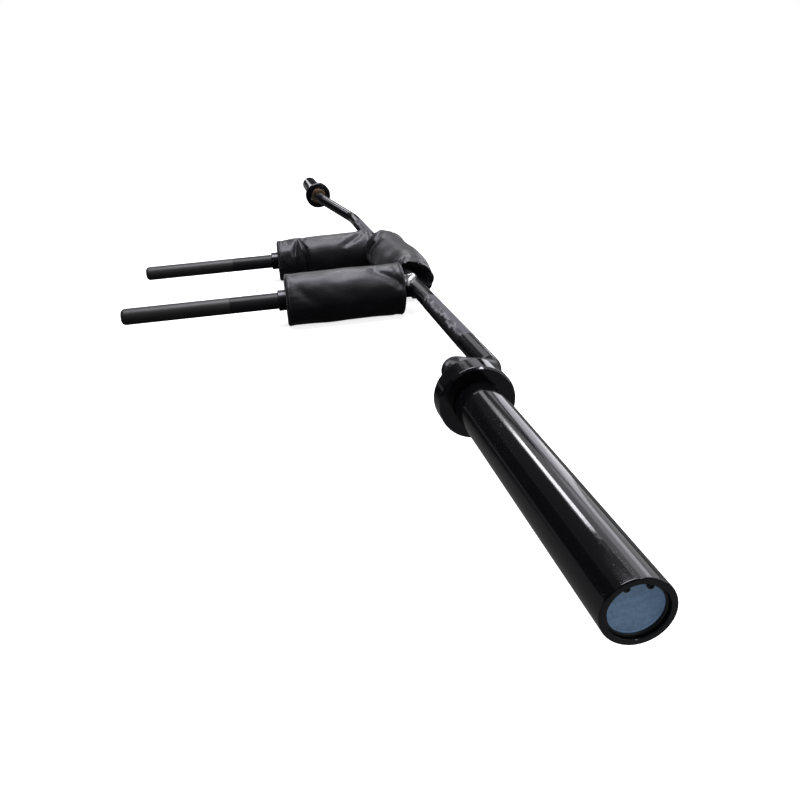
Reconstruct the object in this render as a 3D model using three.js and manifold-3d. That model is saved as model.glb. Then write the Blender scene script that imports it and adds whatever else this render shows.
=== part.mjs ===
// Safety squat bar: a bent, padded squat bar with two forward handles and two free-spinning plate sleeves.
// Millimetres, +X along the bar, handles towards -Y, +Z up. The bar lies on its shoulder pads, and the origin
// is on the surface below the middle of its bounding box.

import * as THREE from 'three';
import { mergeVertices } from 'three/addons/utils/BufferGeometryUtils.js';
import Module from 'manifold-3d';

const wasm = await Module();
wasm.setup();

// Driving dimensions

const overallLength = 2200; // tip to tip, over both sleeves
const sleeveDia = 50; // plate sleeve outside diameter
const sleeveLoad = 292; // plate room outboard of the collar
const sleeveBoreDia = 36;
const collarDia = 79;
const collarWidth = 27;
const collarChamfer = 2.5;
const sleeveForward = 85.3; // sleeve axis ahead of the centre section
const sleeveRise = 54.5; // sleeve axis above the centre section

const shaftDia = 29.5;
const journalDia = 26; // turned-down shaft end inside the sleeve
const cornerSetback = 67; // from the collar's inner face to the outer bend's corner
const bendRun = 102; // between a bend's two corners, along the bar
const bendRadius = 48; // bend radius at the shaft's centreline

const armSpacing = 338; // between the two handle arms' axes
const armDia = 40;
const armBoreDia = 32;
const armPlugReach = 24; // from the shaft axis to the end of the arm's solid root
const armReach = 265; // from the shaft axis to the arm's mouth
const armDrop = 4.5; // arm axis below the shaft axis
const armMouthChamfer = 1.5;
const weldSize = 4.2; // radius of the saddle weld bead

const rodDia = 31.4;
const rodNeckDia = 27; // turned down inside the grip
const rodInsertion = 120; // handle rod inside the arm tube
const rodTipChamfer = 2;
const handleReach = 562; // from the shaft axis to the grip's tip
const gripStart = 356.5; // from the shaft axis to the grip's open end
const gripDia = 31.4;
const gripTipWall = 6;
const gripTipRound = 7;

const shoulderPadDia = 98;
const shoulderPadStart = 23; // rear end of the pad, from the shaft axis
const shoulderPadLength = 229;
const restFlatDepth = 0.5; // how much the resting pads are flattened below
const neckPadDia = 88;
const neckPadEndGap = 31; // from each end of the neck pad to the arm beside it
const neckPadBack = 9.5; // the pad's middle sits behind the shaft axis
const neckPadRise = 3;
const coverWall = 2.5;
const padCrown = 2.5; // how much fuller a pad is at its middle than near its ends
const padEndRound = 10; // how far the cover rounds over towards its end face
const endRoundShare = 0.75; // how deep it rounds over, as a share of that
const padEndHollow = 5; // how far the sewn end face draws in around the tube
const sewnSeamDepth = 1.6; // dip of the sewn seam ring near each end
const sewnSeamReach = 8; // half width of that dip
const foldReach = 11; // half width of a fold, along the pad
const rightFoldDepth = 2.4;
const leftFoldDepth = 7;
const neckFoldDepth = 3.5;
const rightFoldPlace = 40; // each shoulder pad's fold, from the pad's rear end
const leftFoldPlace = 168;
const neckFoldPlace = 42; // from the neck pad's left end
const foldSpread = 0.8; // half of the angle that a fold reaches round the pad
const flapWidth = 38; // hook-and-loop closure strip
const flapThickness = 1.6;
const flapEndMargin = 24;
const shoulderFlapTurn = 0.44; // below the pad's inner side, as an angle

const innerBushingLength = 42;
const outerBushingLength = 32;
const bushingFlangeDia = 43;
const bushingFlangeThickness = 3;

const endRecessDia = 41;
const sleeveEndChamfer = 1;
const capThickness = 2.6;
const capDish = 0.6;
const capRim = 1.2;
const circlipThickness = 1.6;
const circlipSetback = 2.4; // sleeve end face to the circlip
const circlipWidth = 2.6; // radial
const circlipGrooveDepth = 1.2;
const circlipGap = 15; // between the middles of the clip's two lugs
const lugDia = 4.4;
const lugHoleDia = 2.2;
const lugInset = 1.1; // the lugs' middles, inside the clip's inner edge
const chamberDia = 37.4; // room for the shaft's washer and snap ring
const washerThickness = 2.6;
const snapRingThickness = 1.8;
const snapRingWidth = 3.2; // radial
const snapRingSetback = 2.2; // shaft end to the snap ring
const snapGrooveDepth = 1;
const snapRingGap = 9;
const shaftEndGap = 2.2; // shaft end to the end cap

const clearance = 0.3; // between separate solids
const overrun = 2; // how far a cutting tool passes its face
const sameCorner = 0.0003; // corners closer together than this are one

// Facet counts

const shaftSides = 28;
const bendSteps = 6;
const sleeveSides = 36;
const collarSides = 44;
const smallSides = 24;
const lugSides = 10;
const armSides = 30;
const weldSteps = 32;
const weldSides = 6;
const handleSides = 26;
const gripRoundSteps = 4;
const padSides = 26;
const padBodySteps = 4;
const endRoundSteps = 3;

// Places that follow from the driving dimensions

const sleeveEndX = overallLength / 2;
const collarOuterX = sleeveEndX - sleeveLoad;
const collarInnerX = collarOuterX - collarWidth;
const shaftRadius = shaftDia / 2;
const journalRadius = journalDia / 2;
const outerCorner = collarInnerX - cornerSetback; // where the angled part's axis meets the sleeve axis
const centreCorner = outerCorner - bendRun; // and where it meets the centre section's
const armX = armSpacing / 2;
const neckPadLength = armSpacing - armDia - 2 * neckPadEndGap;
const shoulderPadRadius = shoulderPadDia / 2;
const neckPadRadius = neckPadDia / 2;

// The centre section's axis in the part's frame: the pads lie on z = 0 and the bounding box is centred.
const rearReach = neckPadBack + neckPadRadius;
const shaftY = (handleReach - rearReach) / 2;
const armZ = shoulderPadRadius - restFlatDepth;
const shaftZ = armZ + armDrop;

const black = new THREE.Color(0x0b0b0d);
const finishes = {
  sleeveFinish: new THREE.MeshStandardMaterial({ color: black, roughness: 0.18, metalness: 0.55 }),
  shaftFinish: new THREE.MeshStandardMaterial({ color: 0x101012, roughness: 0.3, metalness: 0.5 }),
  rodFinish: new THREE.MeshStandardMaterial({ color: 0x1b1b1e, roughness: 0.42, metalness: 0.4 }),
  gripRubber: new THREE.MeshStandardMaterial({ color: 0x232325, roughness: 0.78, metalness: 0 }),
  coverFabric: new THREE.MeshStandardMaterial({ color: 0x26262b, roughness: 0.6, metalness: 0 }),
  foam: new THREE.MeshStandardMaterial({ color: 0x2f2f33, roughness: 0.95, metalness: 0 }),
  hookTape: new THREE.MeshStandardMaterial({ color: 0x161618, roughness: 0.9, metalness: 0 }),
  bronze: new THREE.MeshStandardMaterial({ color: 0xa9743f, roughness: 0.35, metalness: 0.9 }),
  capFinish: new THREE.MeshStandardMaterial({ color: 0x5c7890, roughness: 0.4, metalness: 0.2 }),
  springSteel: new THREE.MeshStandardMaterial({ color: 0x17171a, roughness: 0.3, metalness: 0.8 }),
};

// Geometry helpers

/** Signed volume of an indexed geometry: positive when its faces point out. */
function signedVolume(geometry) {
  const p = geometry.getAttribute('position');
  const index = geometry.getIndex();
  const a = new THREE.Vector3();
  const b = new THREE.Vector3();
  const c = new THREE.Vector3();
  let sum = 0;
  for (let i = 0; i < index.count; i += 3) {
    a.fromBufferAttribute(p, index.getX(i));
    b.fromBufferAttribute(p, index.getX(i + 1));
    c.fromBufferAttribute(p, index.getX(i + 2));
    sum += a.dot(b.cross(c));
  }
  return sum / 6;
}

/** Merges a geometry's shared vertices, drops collapsed triangles and turns its faces outwards. */
function sealed(source) {
  const bare = new THREE.BufferGeometry();
  bare.setAttribute('position', source.getAttribute('position').clone());
  if (source.getIndex()) bare.setIndex(source.getIndex().clone());
  const merged = mergeVertices(bare, sameCorner);
  const index = merged.getIndex();
  const kept = [];
  for (let i = 0; i < index.count; i += 3) {
    const [a, b, c] = [index.getX(i), index.getX(i + 1), index.getX(i + 2)];
    if (a !== b && b !== c && c !== a) kept.push(a, b, c);
  }
  merged.setIndex(kept);
  if (signedVolume(merged) < 0) {
    for (let i = 0; i < kept.length; i += 3) [kept[i], kept[i + 1]] = [kept[i + 1], kept[i]];
    merged.setIndex(kept);
  }
  return merged;
}

/** Turns a closed geometry into a solid that can be joined and cut. */
function toSolid(source) {
  const geometry = sealed(source);
  return new wasm.Manifold(new wasm.Mesh({
    numProp: 3,
    vertProperties: new Float32Array(geometry.getAttribute('position').array),
    triVerts: new Uint32Array(geometry.getIndex().array),
  }));
}

/** Turns a solid back into a geometry. */
function toGeometry(solid) {
  const mesh = solid.getMesh();
  const geometry = new THREE.BufferGeometry();
  geometry.setAttribute('position', new THREE.BufferAttribute(new Float32Array(mesh.vertProperties), 3));
  geometry.setIndex(Array.from(mesh.triVerts));
  return geometry;
}

/** Revolves a closed profile of [radius, station] points; the stations run along +X. */
function revolve(profile, sides) {
  const points = profile.map(([radius, station]) => new THREE.Vector2(radius, station));
  if (profile.some(([radius]) => radius > 0) && profile[0][0] > 0) points.push(points[0].clone());
  const geometry = new THREE.LatheGeometry(points, sides);
  geometry.rotateZ(-Math.PI / 2);
  return sealed(geometry);
}

/** A plain ring: a tube of the given bore and outside radius between two stations. */
function ringProfile(inner, outer, start, end, chamfer = 0) {
  return [[inner, start], [outer - chamfer, start], [outer, start + chamfer], [outer, end - chamfer],
    [outer - chamfer, end], [inner, end]];
}

/** A solid round bar between two stations, for cutting and joining. */
function barProfile(radius, start, end, chamfer = 0) {
  return [[0, start], [radius - chamfer, start], [radius, start + chamfer], [radius, end - chamfer],
    [radius - chamfer, end], [0, end]];
}

/** Joins a list of closed point rings into one closed skin; the ring after the last is the first again. */
function ringSkin(rings) {
  const sides = rings[0].length;
  const positions = rings.flat().flatMap((p) => [p.x, p.y, p.z]);
  const index = [];
  rings.forEach((ring, r) => {
    const next = (r + 1) % rings.length;
    for (let s = 0; s < sides; s += 1) {
      const t = (s + 1) % sides;
      const [a, b, c, d] = [r * sides + s, r * sides + t, next * sides + t, next * sides + s];
      index.push(a, b, c, a, c, d);
    }
  });
  const geometry = new THREE.BufferGeometry();
  geometry.setAttribute('position', new THREE.Float32BufferAttribute(positions, 3));
  geometry.setIndex(index);
  return sealed(geometry);
}

/** Joins a list of point loops into one closed solid, with a flat face over the first and the last. */
function loftSolid(loops) {
  const sides = loops[0].length;
  const positions = loops.flat().flatMap((p) => [p.x, p.y, p.z]);
  const index = [];
  for (let r = 0; r + 1 < loops.length; r += 1) {
    for (let s = 0; s < sides; s += 1) {
      const t = (s + 1) % sides;
      const [a, b, c, d] = [r * sides + s, r * sides + t, (r + 1) * sides + t, (r + 1) * sides + s];
      index.push(a, b, c, a, c, d);
    }
  }
  const last = (loops.length - 1) * sides;
  for (let s = 0; s < sides / 2 - 1; s += 1) {
    const far = sides - 1 - s;
    index.push(s, far, s + 1, far, far - 1, s + 1);
    index.push(last + s, last + s + 1, last + far, last + far, last + s + 1, last + far - 1);
  }
  const geometry = new THREE.BufferGeometry();
  geometry.setAttribute('position', new THREE.Float32BufferAttribute(positions, 3));
  geometry.setIndex(index);
  return sealed(geometry);
}

function namedMesh(name, geometry, material) {
  const mesh = new THREE.Mesh(geometry, material);
  mesh.name = name;
  return mesh;
}

// Bent shaft

/**
 * Centreline of the bar: straight runs joined by round bends. Its stations are the ends of the straight runs
 * and a few points in each bend, so that a long straight run takes one step.
 */
class BentBarPath extends THREE.Curve {
  constructor(corners, radius, steps) {
    super();
    this.stations = [{ point: corners[0], tangent: corners[1].clone().sub(corners[0]).normalize() }];
    for (let i = 1; i < corners.length - 1; i += 1) this.addBend(corners, i, radius, steps);
    const last = corners.length - 1;
    const end = corners[last].clone().sub(corners[last - 1]).normalize();
    this.stations.push({ point: corners[last], tangent: end });
  }

  addBend(corners, i, radius, steps) {
    const back = corners[i - 1].clone().sub(corners[i]).normalize();
    const ahead = corners[i + 1].clone().sub(corners[i]).normalize();
    const turn = Math.PI - back.angleTo(ahead);
    const setback = radius * Math.tan(turn / 2);
    const start = corners[i].clone().addScaledVector(back, setback);
    const inward = back.clone().add(ahead).normalize();
    const centre = corners[i].clone().addScaledVector(inward, radius / Math.cos(turn / 2));
    const axis = back.clone().negate().cross(ahead).normalize();
    for (let s = 0; s <= steps; s += 1) {
      const angle = (turn * s) / steps;
      const point = start.clone().sub(centre).applyAxisAngle(axis, angle).add(centre);
      this.stations.push({ point, tangent: back.clone().negate().applyAxisAngle(axis, angle) });
    }
  }

  get steps() {
    return this.stations.length - 1;
  }

  getPointAt(u) {
    return this.stations[Math.round(u * this.steps)].point.clone();
  }

  getTangentAt(u) {
    return this.stations[Math.round(u * this.steps)].tangent.clone();
  }
}

/** A round section of the given radius, with a corner on each axis. */
function roundSection(radius, sides) {
  const section = new THREE.Shape();
  for (let s = 0; s < sides; s += 1) {
    const angle = (2 * Math.PI * s) / sides;
    const [x, y] = [radius * Math.cos(angle), radius * Math.sin(angle)];
    if (s === 0) section.moveTo(x, y);
    else section.lineTo(x, y);
  }
  section.closePath();
  return section;
}

const capSeat = circlipSetback + circlipThickness + clearance; // sleeve end face to the cap's outer face
const shoulderSetback = capSeat + capThickness + clearance; // sleeve end face to the cap's shoulder
const shaftTipX = sleeveEndX - shoulderSetback - shaftEndGap;
const snapRingX = shaftTipX - snapRingSetback - snapRingThickness; // inboard face of the snap ring
const washerX = snapRingX - clearance - washerThickness; // inboard face of the washer
const outerBushingEndX = washerX - clearance;
const journalShoulderX = collarInnerX - clearance - bushingFlangeThickness - clearance;

/** The bent one-piece shaft, with a turned-down journal and a snap ring groove at each end. */
function buildShaft() {
  const half = (sign) => [
    new THREE.Vector3(sign * shaftTipX, -sleeveForward, sleeveRise),
    new THREE.Vector3(sign * outerCorner, -sleeveForward, sleeveRise),
    new THREE.Vector3(sign * centreCorner, 0, 0),
  ];
  const path = new BentBarPath([...half(-1), ...half(1).reverse()], bendRadius, bendSteps);
  const blank = new THREE.ExtrudeGeometry(
    roundSection(shaftRadius, shaftSides),
    { steps: path.steps, extrudePath: path, bevelEnabled: false },
  );
  const outside = shaftRadius + overrun;
  const grooveEnd = snapRingX + snapRingThickness + clearance / 2;
  const turning = ringProfile(journalRadius, outside, journalShoulderX, shaftTipX + overrun);
  const groove = ringProfile(journalRadius - snapGrooveDepth, outside, snapRingX - clearance / 2, grooveEnd);
  let shaft = toSolid(blank);
  for (const sign of [1, -1]) {
    for (const profile of [turning, groove]) {
      const tool = revolve(profile, shaftSides);
      if (sign < 0) tool.rotateZ(Math.PI);
      tool.translate(0, -sleeveForward, sleeveRise);
      shaft = shaft.subtract(toSolid(tool));
    }
  }
  return toGeometry(shaft);
}

// Handle arms. Stations run from the shaft axis towards the handle's tip, along the arm's own +X.

/** The saddle weld: a bead along the line where the arm's root meets the round shaft. */
function weldBead() {
  const rings = [];
  const armRadius = armDia / 2;
  for (let k = 0; k < weldSteps; k += 1) {
    const angle = (2 * Math.PI * k) / weldSteps;
    const across = armRadius * Math.cos(angle);
    const height = Math.max(-shaftRadius, Math.min(shaftRadius, armRadius * Math.sin(angle) - armDrop));
    const station = Math.sqrt(shaftRadius * shaftRadius - height * height);
    const ring = [];
    for (let s = 0; s < weldSides; s += 1) {
      const turn = (2 * Math.PI * s) / weldSides;
      const out = weldSize * Math.cos(turn);
      const y = across + out * Math.cos(angle);
      const z = armDrop + height + out * Math.sin(angle);
      ring.push(new THREE.Vector3(station + weldSize * Math.sin(turn), y, z));
    }
    rings.push(ring);
  }
  return ringSkin(rings);
}

/** The arm tube: chamfered at its mouth, with a solid root coped halfway round the shaft and welded to it. */
function buildArm() {
  const outer = armDia / 2;
  const bore = armBoreDia / 2;
  const tube = revolve([
    [0, 0], [outer, 0], [outer, armReach - armMouthChamfer], [outer - armMouthChamfer, armReach],
    [bore, armReach], [bore, armPlugReach], [0, armPlugReach],
  ], armSides);
  const cope = revolve(barProfile(shaftRadius + clearance, -armDia, armDia), shaftSides);
  cope.rotateZ(Math.PI / 2);
  cope.translate(0, 0, armDrop);
  return toGeometry(toSolid(tube).add(toSolid(weldBead())).subtract(toSolid(cope)));
}

const rodTip = handleReach - gripTipWall - clearance;

/** The rod: its neck carries the grip, which stops against the rod's shoulder. */
function buildRod() {
  const outer = rodDia / 2;
  const neck = rodNeckDia / 2;
  const start = armReach - rodInsertion;
  const shoulder = gripStart - clearance;
  return revolve([
    [0, start], [outer - rodTipChamfer, start], [outer, start + rodTipChamfer], [outer, shoulder],
    [neck, shoulder], [neck, rodTip - rodTipChamfer], [neck - rodTipChamfer, rodTip], [0, rodTip],
  ], handleSides);
}

/** The rubber grip: a sleeve flush with the rod at its open end, with a rounded closed tip. */
function buildGrip() {
  const outer = gripDia / 2;
  const bore = rodNeckDia / 2 + clearance;
  const profile = [
    [0, rodTip + clearance], [bore, rodTip + clearance], [bore, gripStart], [outer, gripStart],
  ];
  for (let s = 0; s <= gripRoundSteps; s += 1) {
    const angle = (Math.PI / 2) * (s / gripRoundSteps);
    const radius = outer - gripTipRound * (1 - Math.cos(angle));
    profile.push([radius, handleReach - gripTipRound * (1 - Math.sin(angle))]);
  }
  profile.push([0, handleReach]);
  return revolve(profile, handleSides);
}

// Pads. A pad's places run along its own +X, and its section lies in Y and Z.

/**
 * Radius of a sewn pad at a place along it: fullest at mid length, drawn in at a sewn seam near each end
 * and rounded over to the end face.
 */
function padRadius(place, length, radius) {
  const fromMiddle = Math.abs(place - length / 2) / (length / 2);
  const fromEnd = Math.min(place, length - place);
  const seam = sewnSeamDepth * Math.exp(-(((fromEnd - padEndRound) / sewnSeamReach) ** 2));
  const over = Math.max(0, 1 - fromEnd / padEndRound);
  const roundOver = padEndRound * endRoundShare * (1 - Math.sqrt(1 - over * over));
  return radius - padCrown * fromMiddle * fromMiddle - seam - roundOver;
}

/** Depth of a pull in the cloth: a fold across the pad, deepest at one angle round it. */
function foldDepth(fold, place, angle) {
  const along = (place - fold.place) / foldReach;
  const around = Math.atan2(Math.sin(angle - fold.turn), Math.cos(angle - fold.turn)) / foldSpread;
  return fold.depth * Math.exp(-along * along - around * around);
}

/** A point of a pad's surface, moved out from it by the given gap. */
function padPoint(pad, place, angle, gap) {
  const r = padRadius(place, pad.length, pad.radius) + gap - foldDepth(pad.fold, place, angle);
  return new THREE.Vector3(place, pad.offsetY + r * Math.cos(angle), pad.offsetZ + r * Math.sin(angle));
}

function padRings(pad, places, gap) {
  const step = (2 * Math.PI) / padSides;
  const turns = Array.from({ length: padSides }, (_, s) => s * step);
  return places.map((place) => turns.map((turn) => padPoint(pad, place, turn, gap)));
}

function boreRing(place, radius) {
  return Array.from({ length: padSides }, (_, s) => {
    const angle = (2 * Math.PI * s) / padSides;
    return new THREE.Vector3(place, radius * Math.cos(angle), radius * Math.sin(angle));
  });
}

/** Places along a pad: close together over each rounded end and at the fold, wide apart between them. */
function padPlaces({ length, fold }, start) {
  const ends = [];
  for (let s = 0; s <= endRoundSteps; s += 1) {
    const share = 1 - Math.cos((Math.PI / 2) * (s / endRoundSteps));
    ends.push(start + (padEndRound - start) * share);
  }
  const bodyStart = padEndRound + sewnSeamReach;
  const body = [-1, 0, 1].map((step) => fold.place + step * foldReach);
  for (let s = 0; s <= padBodySteps; s += 1) {
    const place = bodyStart + ((length - 2 * bodyStart) * s) / padBodySteps;
    if (Math.abs(place - fold.place) > foldReach + sewnSeamReach) body.push(place);
  }
  return [...ends, ...body, ...ends.map((place) => length - place)].sort((a, b) => a - b);
}

/** Cuts the underside of a resting pad flat, to the given depth from its full size. */
function restingOn(depth, length, solid) {
  const height = shoulderPadRadius;
  const floor = new THREE.BoxGeometry(length + 2 * overrun, shoulderPadDia + 2 * overrun, height);
  floor.translate(length / 2, 0, depth - shoulderPadRadius - height / 2);
  return solid.subtract(toSolid(floor));
}

/** A pad's solid between a skin at the given inset and the tube, with its end faces drawn in. */
function padBlank(pad, inset) {
  const { length } = pad;
  const bore = pad.tubeRadius + clearance;
  const end = padEndHollow + inset;
  const outer = padRings(pad, padPlaces(pad, inset), -inset);
  const solid = toSolid(ringSkin([boreRing(end, bore), ...outer, boreRing(length - end, bore)]));
  return pad.resting ? restingOn(restFlatDepth + inset, length, solid) : solid;
}

/** A sewn cover: the pad's blank, hollowed to the wall's thickness round the tube. */
function coverGeometry(pad) {
  const { length } = pad;
  const inner = padRings(pad, padPlaces(pad, coverWall), -coverWall);
  const bore = pad.tubeRadius - overrun;
  const end = padEndHollow + coverWall;
  let hollow = toSolid(ringSkin([boreRing(end, bore), ...inner, boreRing(length - end, bore)]));
  if (pad.resting) hollow = restingOn(restFlatDepth + coverWall, length, hollow);
  return toGeometry(padBlank(pad, 0).subtract(hollow));
}

/**
 * The hook-and-loop strip that closes a cover, lying on it around the pad's flap angle. Its corners stand
 * over the cover's own, so that the two lie parallel.
 */
function flapGeometry(pad) {
  const step = (2 * Math.PI) / padSides;
  const widthSteps = Math.round(flapWidth / (pad.radius * step));
  const firstSide = Math.round(pad.flapTurn / step - widthSteps / 2);
  const places = padPlaces(pad, 0)
    .filter((place) => place > flapEndMargin && place < pad.length - flapEndMargin);
  const row = (place, gap) => Array.from({ length: widthSteps + 1 }, (_, j) => (
    padPoint(pad, place, (firstSide + j) * step, gap)
  ));
  return loftSolid(places.map((place) => [
    ...row(place, clearance), ...row(place, clearance + flapThickness).reverse(),
  ]));
}

// Sleeve assembly. Places are measured from the collar's inner face outwards, along +X.

const sleeveLength = sleeveEndX - collarInnerX;
const bushingBore = journalRadius + clearance;
const bushingOuter = sleeveBoreDia / 2 - clearance;
const outerBushingEnd = outerBushingEndX - collarInnerX;

function buildSleeveTube() {
  const outer = sleeveDia / 2;
  const bore = sleeveBoreDia / 2;
  const chamber = chamberDia / 2;
  const recess = endRecessDia / 2;
  const groove = recess + circlipGrooveDepth;
  const grooveEnd = sleeveLength - circlipSetback + clearance / 2;
  const grooveStart = grooveEnd - circlipThickness - clearance;
  const shoulder = sleeveLength - shoulderSetback;
  return revolve([
    [bore, 0], [outer, 0], [outer, sleeveLength - sleeveEndChamfer], [outer - sleeveEndChamfer, sleeveLength],
    [recess, sleeveLength], [recess, grooveEnd], [groove, grooveEnd], [groove, grooveStart],
    [recess, grooveStart], [recess, shoulder], [chamber, shoulder], [chamber, outerBushingEnd],
    [bore, outerBushingEnd],
  ], sleeveSides);
}

function buildCollar() {
  const bore = sleeveDia / 2 + clearance;
  return revolve(ringProfile(bore, collarDia / 2, 0, collarWidth, collarChamfer), collarSides);
}

/** The flanged bronze bushing at the collar's end, which shows as a ring round the shaft. */
function buildInnerBushing() {
  const flange = bushingFlangeDia / 2;
  const face = -clearance - bushingFlangeThickness;
  return revolve([
    [bushingBore, face], [flange, face], [flange, -clearance], [bushingOuter, -clearance],
    [bushingOuter, innerBushingLength], [bushingBore, innerBushingLength],
  ], smallSides);
}

function buildOuterBushing() {
  const start = outerBushingEnd - outerBushingLength;
  return revolve(ringProfile(bushingBore, bushingOuter, start, outerBushingEnd), smallSides);
}

/** The plain cap disc in the sleeve's end, a little hollow inside its rim. */
function buildEndCap() {
  const outer = endRecessDia / 2 - clearance;
  const face = sleeveLength - capSeat;
  return revolve([
    [0, face - capThickness], [outer, face - capThickness], [outer, face], [outer - capRim, face],
    [outer - capRim - capDish, face - capDish], [0, face - capDish],
  ], smallSides);
}

/** The internal circlip that holds the end cap: an open ring with two drilled lugs at its mouth. */
function buildCirclip() {
  const outer = endRecessDia / 2 + circlipGrooveDepth - clearance;
  const inner = outer - circlipWidth;
  const start = sleeveLength - circlipSetback - circlipThickness;
  const middle = start + circlipThickness / 2;
  const mouth = new THREE.BoxGeometry(circlipThickness + 2 * overrun, circlipGap - lugDia, endRecessDia);
  mouth.translate(middle, 0, endRecessDia / 2);
  const ring = revolve(ringProfile(inner, outer, start, start + circlipThickness), smallSides);
  let clip = toSolid(ring).subtract(toSolid(mouth));
  const lugReach = inner - lugInset;
  const lean = Math.asin(circlipGap / 2 / lugReach);
  const lugDisc = (diameter, thickness, sign) => {
    const disc = new THREE.CylinderGeometry(diameter / 2, diameter / 2, thickness, lugSides);
    disc.rotateZ(Math.PI / 2);
    disc.translate(middle, sign * lugReach * Math.sin(lean), lugReach * Math.cos(lean));
    return toSolid(disc);
  };
  for (const sign of [1, -1]) {
    clip = clip.add(lugDisc(lugDia, circlipThickness, sign));
    clip = clip.subtract(lugDisc(lugHoleDia, circlipThickness + 2 * overrun, sign));
  }
  return toGeometry(clip);
}

/** The washer and the snap ring on the shaft's end, which keep the sleeve on. */
function buildThrustWasher() {
  const start = washerX - collarInnerX;
  const outer = chamberDia / 2 - 2 * clearance;
  return revolve(ringProfile(bushingBore, outer, start, start + washerThickness), smallSides);
}

function buildSnapRing() {
  const inner = journalRadius - snapGrooveDepth + clearance;
  const start = snapRingX - collarInnerX;
  const profile = ringProfile(inner, inner + snapRingWidth, start, start + snapRingThickness);
  const mouth = new THREE.BoxGeometry(snapRingThickness + 2 * overrun, snapRingGap, journalDia);
  mouth.translate(start + snapRingThickness / 2, 0, journalDia / 2);
  return toGeometry(toSolid(revolve(profile, smallSides)).subtract(toSolid(mouth)));
}

// Assembly

const upTurn = Math.PI / 2;
const shoulderPad = {
  length: shoulderPadLength,
  radius: shoulderPadRadius,
  tubeRadius: armDia / 2,
  offsetY: 0,
  offsetZ: 0,
  resting: true,
};
const shoulderPads = {
  right: {
    ...shoulderPad,
    fold: { place: rightFoldPlace, turn: upTurn, depth: rightFoldDepth },
    flapTurn: Math.PI + shoulderFlapTurn,
  },
  left: {
    ...shoulderPad,
    fold: { place: leftFoldPlace, turn: upTurn, depth: leftFoldDepth },
    flapTurn: -shoulderFlapTurn,
  },
};
const neckPad = {
  length: neckPadLength,
  radius: neckPadRadius,
  tubeRadius: shaftRadius,
  offsetY: neckPadBack,
  offsetZ: neckPadRise,
  resting: false,
  fold: { place: neckFoldPlace, turn: upTurn, depth: neckFoldDepth },
  flapTurn: -upTurn,
};

/** A pad's cover, foam core and closure strip. */
function padPieces(name, ending, pad) {
  return [
    namedMesh(`${name}_cover${ending}`, coverGeometry(pad), finishes.coverFabric),
    namedMesh(`${name}_foam${ending}`, toGeometry(padBlank(pad, coverWall + clearance)), finishes.foam),
    namedMesh(`${name}_closure${ending}`, flapGeometry(pad), finishes.hookTape),
  ];
}

const squatBar = new THREE.Group();
squatBar.position.set(0, shaftY, shaftZ);
squatBar.add(namedMesh('shaft', buildShaft(), finishes.shaftFinish));

for (const [side, sign] of [['right', 1], ['left', -1]]) {
  const handle = new THREE.Group();
  handle.position.set(sign * armX, 0, -armDrop);
  handle.rotation.z = -Math.PI / 2; // places run towards -Y, and the section's own +Y points to +X
  handle.add(namedMesh(`arm_tube_${side}`, buildArm(), finishes.shaftFinish));
  handle.add(namedMesh(`handle_rod_${side}`, buildRod(), finishes.rodFinish));
  handle.add(namedMesh(`handle_grip_${side}`, buildGrip(), finishes.gripRubber));

  const pad = new THREE.Group();
  pad.position.x = shoulderPadStart;
  pad.add(...padPieces('shoulder', `_${side}`, shoulderPads[side]));
  handle.add(pad);
  squatBar.add(handle);

  const sleeve = new THREE.Group();
  sleeve.position.set(sign * collarInnerX, -sleeveForward, sleeveRise);
  if (sign < 0) sleeve.rotation.z = Math.PI;
  sleeve.add(namedMesh(`sleeve_tube_${side}`, buildSleeveTube(), finishes.sleeveFinish));
  sleeve.add(namedMesh(`collar_${side}`, buildCollar(), finishes.sleeveFinish));
  sleeve.add(namedMesh(`inner_bushing_${side}`, buildInnerBushing(), finishes.bronze));
  sleeve.add(namedMesh(`outer_bushing_${side}`, buildOuterBushing(), finishes.bronze));
  sleeve.add(namedMesh(`end_cap_${side}`, buildEndCap(), finishes.capFinish));
  sleeve.add(namedMesh(`circlip_${side}`, buildCirclip(), finishes.springSteel));
  sleeve.add(namedMesh(`thrust_washer_${side}`, buildThrustWasher(), finishes.springSteel));
  sleeve.add(namedMesh(`snap_ring_${side}`, buildSnapRing(), finishes.springSteel));
  squatBar.add(sleeve);
}

const neck = new THREE.Group();
neck.position.x = -neckPadLength / 2;
neck.add(...padPieces('neck', '', neckPad));
squatBar.add(neck);

const part = new THREE.Group();
part.add(squatBar);

export default part;
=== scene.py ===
"""Dresses a safety squat bar: smooth turned steel, a welded yoke, rubber grips and three sewn pads."""

import logging
import math
from dataclasses import dataclass, field
from enum import Enum
from typing import Callable, Iterable, Optional, Union

import bmesh
import bpy
from mathutils import Matrix, Vector, noise
from mathutils.bvhtree import BVHTree


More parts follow.
